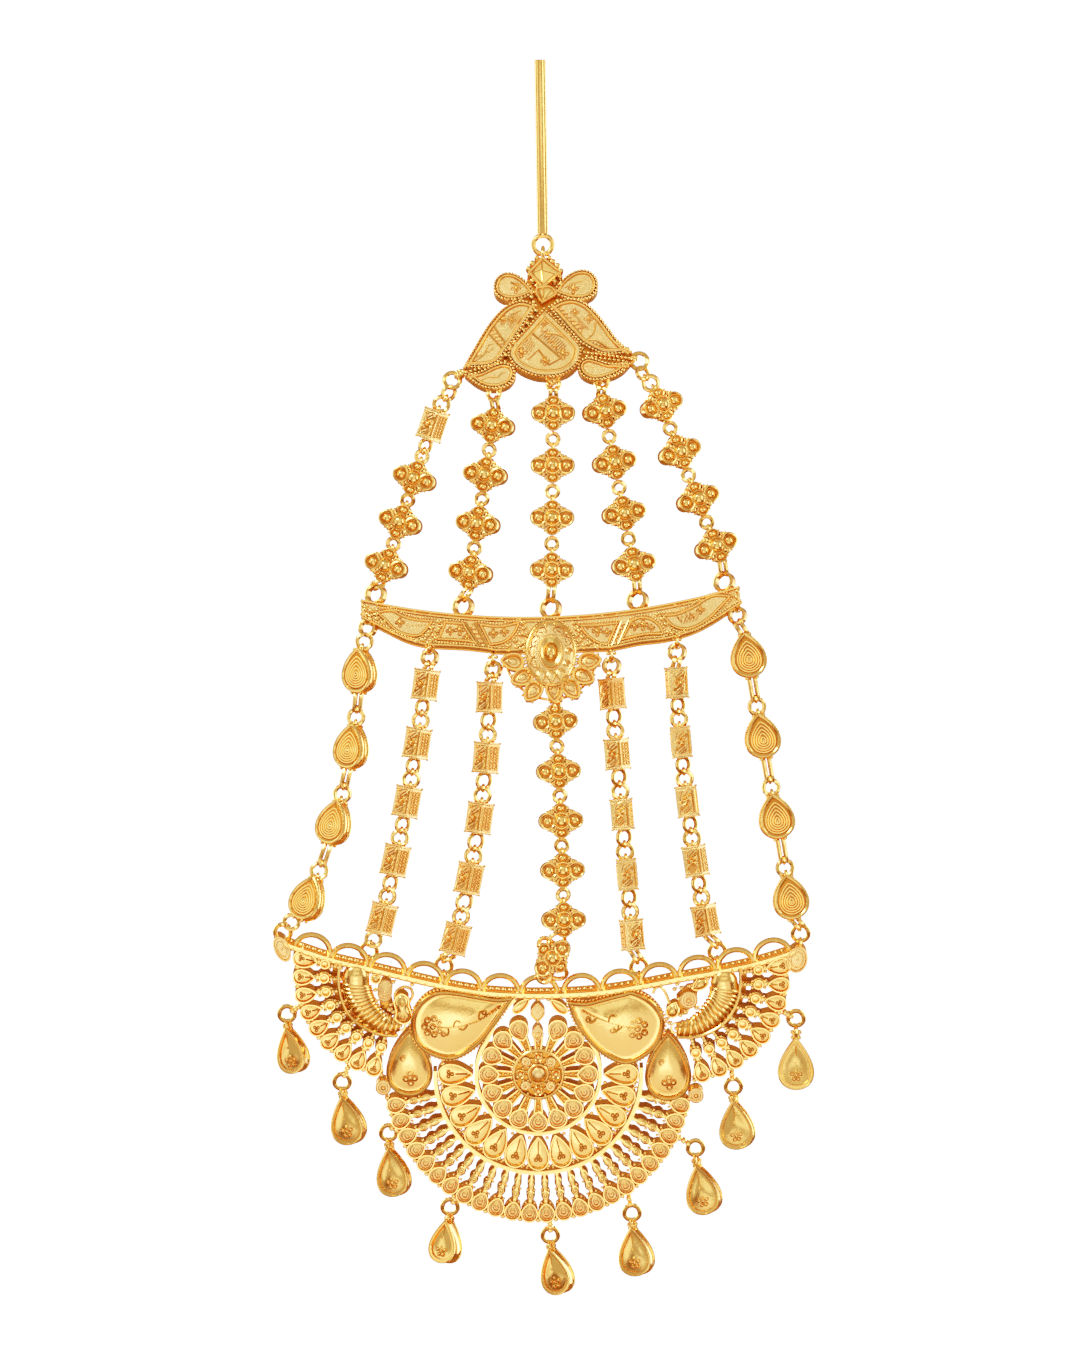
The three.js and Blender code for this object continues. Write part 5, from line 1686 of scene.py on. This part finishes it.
def make_side(row):
    """A rayed wing beside the wheel: a horn on a beaded arc, then rays that end in small drops."""
    front, back = -FRONT, 1.2
    # deep holds painted shade in the darker gold: the spokes' bodies, the shelf behind the arc and the horn's
    # body between its ribs.
    bright, deep = [], []
    centre, sign = row["centre"], 1 if row["step"] > 0 else -1
    for i in range(9):
        angle = row["first"] + row["step"] * i
        reach = row["reach"] * (1 - row["shrink"] * i)
        turn = at(*centre, 0, angle - 90)
        size = 1.12 if i == 0 else 1.0
        drop, stamped = walled_drop(3.3 * size, 2.35 * size, FRONT, back, 0.3, 0.16, 22, 0.7, 0.8)
        bright += moves(drop, facing(reach - 0.1, angle, centre))
        deep += moves(stamped, facing(reach - 0.1, angle, centre))
        cup_at = reach - 3.0
        cup = relief(circle(0.8, 16), [(1.0, 1.6), (0.85, 1.75), (0.6, 1.6), (0.42, 1.1), (0.05, 1.0)], back)
        bright += [
            moved(cup, turn @ at(0, cup_at)), moved(ring(0.64, 0.17, 16, 6), turn @ at(0, cup_at, front)),
        ]
        outline = [(cup_at + z, half) for z, half in SPOKE]
        parts = [
            strap([(z, half - 0.03) for z, half in outline], front + 0.25, front + 0.55),
            granules([(0, cup_at - s) for s in (1.05, 1.5, 1.95, 2.4)], 0.36, front + 0.15),
            granules([(s, cup_at + t) for s in (-0.5, 0.5) for t in (0.95, -0.85)], 0.26, front + 0.25),
        ]
        bright += moves(parts, turn)
        deep.append(moved(strap(outline, front + 0.45, back), turn))
        outer = [polar(reach + 0.95, angle + s * row["step"] * 0.5, centre) for s in (-1, 1)]
        bright += [granules(outer, 0.36, front + 0.25), granules(outer, 0.36, 0.2)]
    arc_radius = np.interp(np.arange(26) * 4, (0, 50, 100), (9.5, 9.3, 8.1))
    arc_angles = [row["first"] + sign * 4 * (k - 1) for k in range(26)]
    arc = [polar(r, a, centre) for r, a in zip(arc_radius, arc_angles)]
    bright += [fence(arc, 0.3, front - 0.1, back), wire(arc, 0.23, front - 0.2, False, 7)]
    bright.append(granules(evenly(np.array(arc), 0.6, False), 0.24, front + 0.1))
    shelf = [polar(r + 0.5, a, centre) for r, a in zip(arc_radius[:24], arc_angles)]
    deep.append(fence(shelf, 1.0, 0.3, 0.7))
    # The horn: a smooth domed head, then a body with ribs wound round it that narrows to a mouth
    path = smooth(row["horn"], 14, False)
    share = np.linspace(0, 1, len(path))
    radius = np.interp(share, np.linspace(0, 1, 6), HORN_RADIUS)
    low = np.diag([1, 0.55, 1, 1])
    low[1, 3] = -0.6
    deep.append(moved(tube(flat(path[9:], HORN_Y), radius[9:] * 0.97, 16), low))
    bright += [
        moved(tube(flat(path[:12], HORN_Y), radius[:12], 16), low),
        moved(ball(1.98, 18, 10), low @ at(*path[0], HORN_Y)),
    ]
    for k in range(10, len(path) - 3, 4):
        around = [(math.cos(a), math.sin(a)) for a in np.linspace(0.1, math.pi - 0.1, 12)]
        along = path[k + 1] - path[k - 1]
        along = along / np.linalg.norm(along)
        side = np.array([-along[1], along[0]])
        r = radius[k] * 1.06
        loop = [(*(path[k] + side * r * c + along * 0.35 * c),) for c, s in around]
        depth = [HORN_Y - r * s for _, s in around]
        loop = np.array([(p[0], d, p[1]) for p, d in zip(loop, depth)])
        bright.append(moved(tube(loop, 0.23, 6, False, up=(0.3, 0.2, 0.9)), low))
    mouth = at(*path[-1], -1.3, 0)
    bright.append(moved(ring(0.75, 0.17, 16, 6), mouth))
    bright.append(moved(granules([(0, 0)], 0.35, -0.2), mouth))
    return {POLISHED: bright, PAINTED_SHADE: deep}


def fillers():
    """The odd pieces between the horns, the paisleys and the rail."""
    bright, deep, satin_painted_light = [], [], []
    back = 1.0
    # Dark floors in the gaps between the pieces are painted shade in the darker gold; the oval, the discs and
    # the end leaves are the paler satin gold, painted light.
    floor_left = [(-23.0, -0.9), (-21.2, -0.9), (-20.6, -3.6), (-21.4, -3.9), (-22.8, -2.6)]
    floor_right = [(23.6, 1.0), (21.6, 0.8), (20.0, -0.8), (20.2, -3.8), (21.6, -3.6), (22.4, -1.9)]
    for outline in (floor_left, floor_right):
        deep.append(relief(anticlockwise(np.array(outline)), [(1.0, 0.5)], 0.6))
    oval = circle(1.08, 28, 1.55)
    parts = [relief(oval, [(1.0, 1.55), (0.92, 1.6)], back)]
    parts += [wire(oval * s, 0.11, -1.62, True, 5) for s in (0.92, 0.68, 0.44, 0.2)]
    satin_painted_light += moves(parts, at(-22.1, 0.2, 0, -6))
    bean = [
        (0.1, 1.6), (-0.75, 0.9), (-0.7, -0.4), (-0.9, -1.3), (0, -1.9), (0.9, -1.3), (0.75, 0.2), (0.8, 1.0),
    ]
    bean = smooth(bean, 5)
    parts = [relief(bean, dome_profile(0.6, 1.3, 5), back), wire(bean, 0.15, -1.35, True, 6)]
    parts += [
        moved(ring(0.3, 0.1, 12, 5), at(-0.1, -1.1, -1.85)),
        moved(ring(0.26, 0.1, 12, 5), at(0.1, 0.6, -1.85)),
    ]
    bright += moves(parts, at(-19.6, -2.2, 0, 8, 1.28))
    hook = smooth(
        [(-20.5, -2.0), (-20.6, -0.2), (-19.6, 0.8), (-18.4, 0.6), (-18.1, -0.4), (-18.7, -1.6)], 6, False,
    )
    bright.append(wire(hook, 0.24, -1.5, False, 7))
    bright.append(moved(relief(circle(0.62, 18), dome_profile(0.4, 1.5, 4), back), at(-23.4, 2.1)))
    bright.append(moved(ring(0.7, 0.14, 18, 6), at(-23.4, 2.1, -1.5)))
    for centre, radius in (((21.8, -1.1), 1.28), ((-22.4, -14.3), 1.12), ((22.9, -15.5), 1.12)):
        disc = circle(radius, 26)
        parts = [
            relief(disc, [(1.0, 1.6), (0.93, 1.7)], 1.2)
        ] + [wire(disc * s, 0.11, -1.72, True, 5) for s in (0.93, 0.62, 0.34)]
        satin_painted_light += moves(parts, at(*centre))
        bright.append(granules([centre], 0.28, -1.75))
    leaf = teardrop(2.5, 1.6, 22, 0.5)
    parts = [relief(leaf, dome_profile(0.6, 1.3, 5), back), wire(leaf, 0.15, -1.35, True, 6)]
    bright += moves(parts, at(23.4, 1.2, 0, 125))
    drop = teardrop(2.3, 1.7, 22, 0.6)
    parts = [
        relief(drop, dome_profile(0.55, 1.4, 5), back), wire(drop, 0.15, -1.45, True, 6),
        granules([(0, -0.3)], 0.2, -1.95),
    ]
    bright += moves(parts, at(19.5, -2.6, 0, -20))
    hook = smooth([(19.0, -1.6), (18.5, -0.2), (17.8, 0.8), (17.0, 0.7), (16.6, -0.1)], 6, False)
    bright.append(wire(hook, 0.24, -1.5, False, 7))
    loose = [
        (-20.9, 1.6), (-24.6, 2.7), (-21.3, -1.8), (-20.9, -2.9), (-21.4, -2.6), (-23.4, -1.3), (-23.5, 0.4),
        (-18.7, -3.9),
        (-19.1, -4.5), (-18.2, 1.2), (-23.6, -2.2), (-20.5, -3.6), (-27.6, 4.2), (-26.3, 4.0), (-29.2, 4.2),
        (-30.2, 4.4),
        (20.1, 1.3), (20.7, 0.7), (19.7, 0.5), (21.9, 1.0), (24.6, 2.2), (22.9, -2.3), (21.3, -2.9),
        (20.6, -3.4), (19.0, -4.6),
        (18.6, -4.0), (20.3, -0.9), (27.7, 3.3), (29.0, 3.4), (30.0, 3.6),
    ]
    bright += [granules(loose, 0.36, -1.45), granules(np.array(loose) + (0.3, 0.24), 0.2, -1.7)]
    # Lozenges that close the top of the pointed hoop
    for x, z, turn in ((-2.4, -2.0, -48), (3.0, -2.1, 50)):
        lozenge = teardrop(3.0, 1.3, 20, 0.5)
        parts = [relief(lozenge, dish_profile(1.5, 1.3, 1.4, 3), back), wire(lozenge, 0.14, -1.55, True, 6)]
        bright += moves(parts, at(x, z, 0, turn))
    bright.append(granules([(0.1, -1.0), (-0.5, -0.8), (0.7, -0.8), (-1.2, -0.9), (1.5, -1.0)], 0.36, -1.4))
    # The leaves on the two ends of the rail
    for x, z, turn, wide, tall in ((-36.9, 6.6, 24, 2.1, 4.0), (37.4, 5.0, -12, 2.9, 3.9)):
        leaf = circle(0.5, 30) * (wide, tall)
        parts = [
            relief(leaf, [(1.0, 1.75), (0.86, 1.85), (0.8, 1.65), (0.02, 1.75)], 1.2),
            wire(leaf * 0.95, 0.14, -1.85, True, 6),
        ]
        parts += [wire(leaf * 0.6, 0.09, -1.75, True, 5), granules([(0, 0)], 0.22, -1.75)]
        satin_painted_light += moves(parts, at(x, z, 0, turn))
    return {POLISHED: bright, PAINTED_SHADE: deep, SATIN_PAINTED_LIGHT: satin_painted_light}


def make_fan():
    place = FAN @ LIFT
    rings = []
    for ring_at in FAN_RINGS:
        if ring_at:
            rings.append(edge_ring(*ring_at, 1.15))
            rings.append(moved(ring(0.7, 0.24, 14, 7, edge_on=True), at(ring_at[0], ring_at[1] - 1.5)))
    for (x, z), root in zip(EDGE_RINGS, EDGE_ROOTS):
        rings.append(edge_ring(x, z, 1.12, 0.37))
        bridge = np.linspace(root, np.array((x, z)) + (np.array(root) - (x, z)) * 0.45, 3)
        rings += [granules(bridge, 0.48, -0.2), granules(bridge, 0.4, 0.5)]
    rings = moves(rings, np.linalg.inv(LIFT))
    piece("fan_rail", {POLISHED: make_rail() + rings}, place, stands_for=["fan_plate"])
    piece("fan_wheel", make_wheel(), place)
    piece("fan_fringe", make_rays(), place)
    piece("fan_leaves", gather(make_paisleys(), fillers()), place)
    for row in SIDES:
        piece(f"fan_{row['name']}_wing", make_side(row), place)


# ------------------------------------------------------------------------------------------------
# Drops that hang from the fan's edge

PENDANTS = table(
    "length width gap lean turn",
    (6.6, 4.2, 1.05, 10, -24), (7.1, 4.7, 1.1, 10, -18), (7.1, 4.6, 1.2, 8, -16), (6.3, 4.4, 0.95, -8, -32),
    (6.8, 4.4, 0.95, 12, -26), (7.1, 4.8, 1.1, 7, -20), (7.3, 4.8, 1.5, 12, -16), (7.2, 4.9, 0.95, 6, -10),
    (7.6, 5.1, 1.7, 0, 0),
)


def hanging_drop(length, width, gap):
    """A hollow drop with both faces dished, and its loop. 0 is the bottom of the ring that it hangs from."""
    half = 1.05
    outline = teardrop(length, width, 40, 1.1)
    profile = [
        (1.0, half - 0.1), (0.97, half), (0.86, half), (0.82, half - 0.22), (0.7, half - 0.2),
        (0.5, half - 0.1),
        (0.3, half), (0.02, half + 0.04),
    ]
    front = [relief(outline, profile, 0.01), wire(outline * 0.985, 0.15, -half + 0.05, True, 7)]
    front.append(wire(outline * 0.85, 0.1, -half, True, 6))
    low = -0.22 * length
    spots = [(0, low)] + [polar(0.62, a, (0, low)) for a in (15, 90, 165, 240, 300)] + [(-0.15, low + 1.9)]
    # The stamps' grooves and the middle line are painted shade in the darker gold, on both faces.
    grooves, grains = stamp(spots, 0.3, -half + 0.04)
    grooves.append(line([(0, low + 1.0), (0, 0.34 * length)], -half + 0.1, 0.1))
    front = merge(front + grains)
    grooves = merge(grooves)
    middle = -gap - length / 2 + 0.15
    place = at(0, middle)
    parts = moves((front, mirrored(front, 1)), place)
    clump = [
        (0, 0.1), (-0.5, -0.5 * gap), (0.5, -0.5 * gap), (-0.42, -0.95 * gap), (0.42, -0.95 * gap), (0, -gap),
    ]
    parts += [granules(clump, 0.38, 0.0), granules([(-0.3, -0.75 * gap), (0.3, -0.75 * gap)], 0.3, -0.5)]
    parts.append(moved(ring(gap / 2, 0.3, 16, 7, edge_on=True), at(0, -gap / 2)))
    return {POLISHED: parts, PAINTED_SHADE: moves((grooves, mirrored(grooves, 1)), place)}


def make_pendants():
    for i, (row, (x, z)) in enumerate(zip(PENDANTS, EDGE_RINGS)):
        hook = to_world(FAN, x, z - 1.2)
        place = Matrix.Translation(Vector(hook)) @ Matrix.Rotation(math.radians(-row["lean"]), 4, "Y")
        turned = np.array(Matrix.Rotation(math.radians(row["turn"]), 4, "Z"))
        parts = placed(hanging_drop(row["length"], row["width"], row["gap"]), turned)
        piece(f"drop_{i + 1}", parts, np.array(place), stands_for=[f"pendant_{i + 1}"])


make_stem()
make_crown()
make_crescent()
make_strands()
make_fan()
make_pendants()
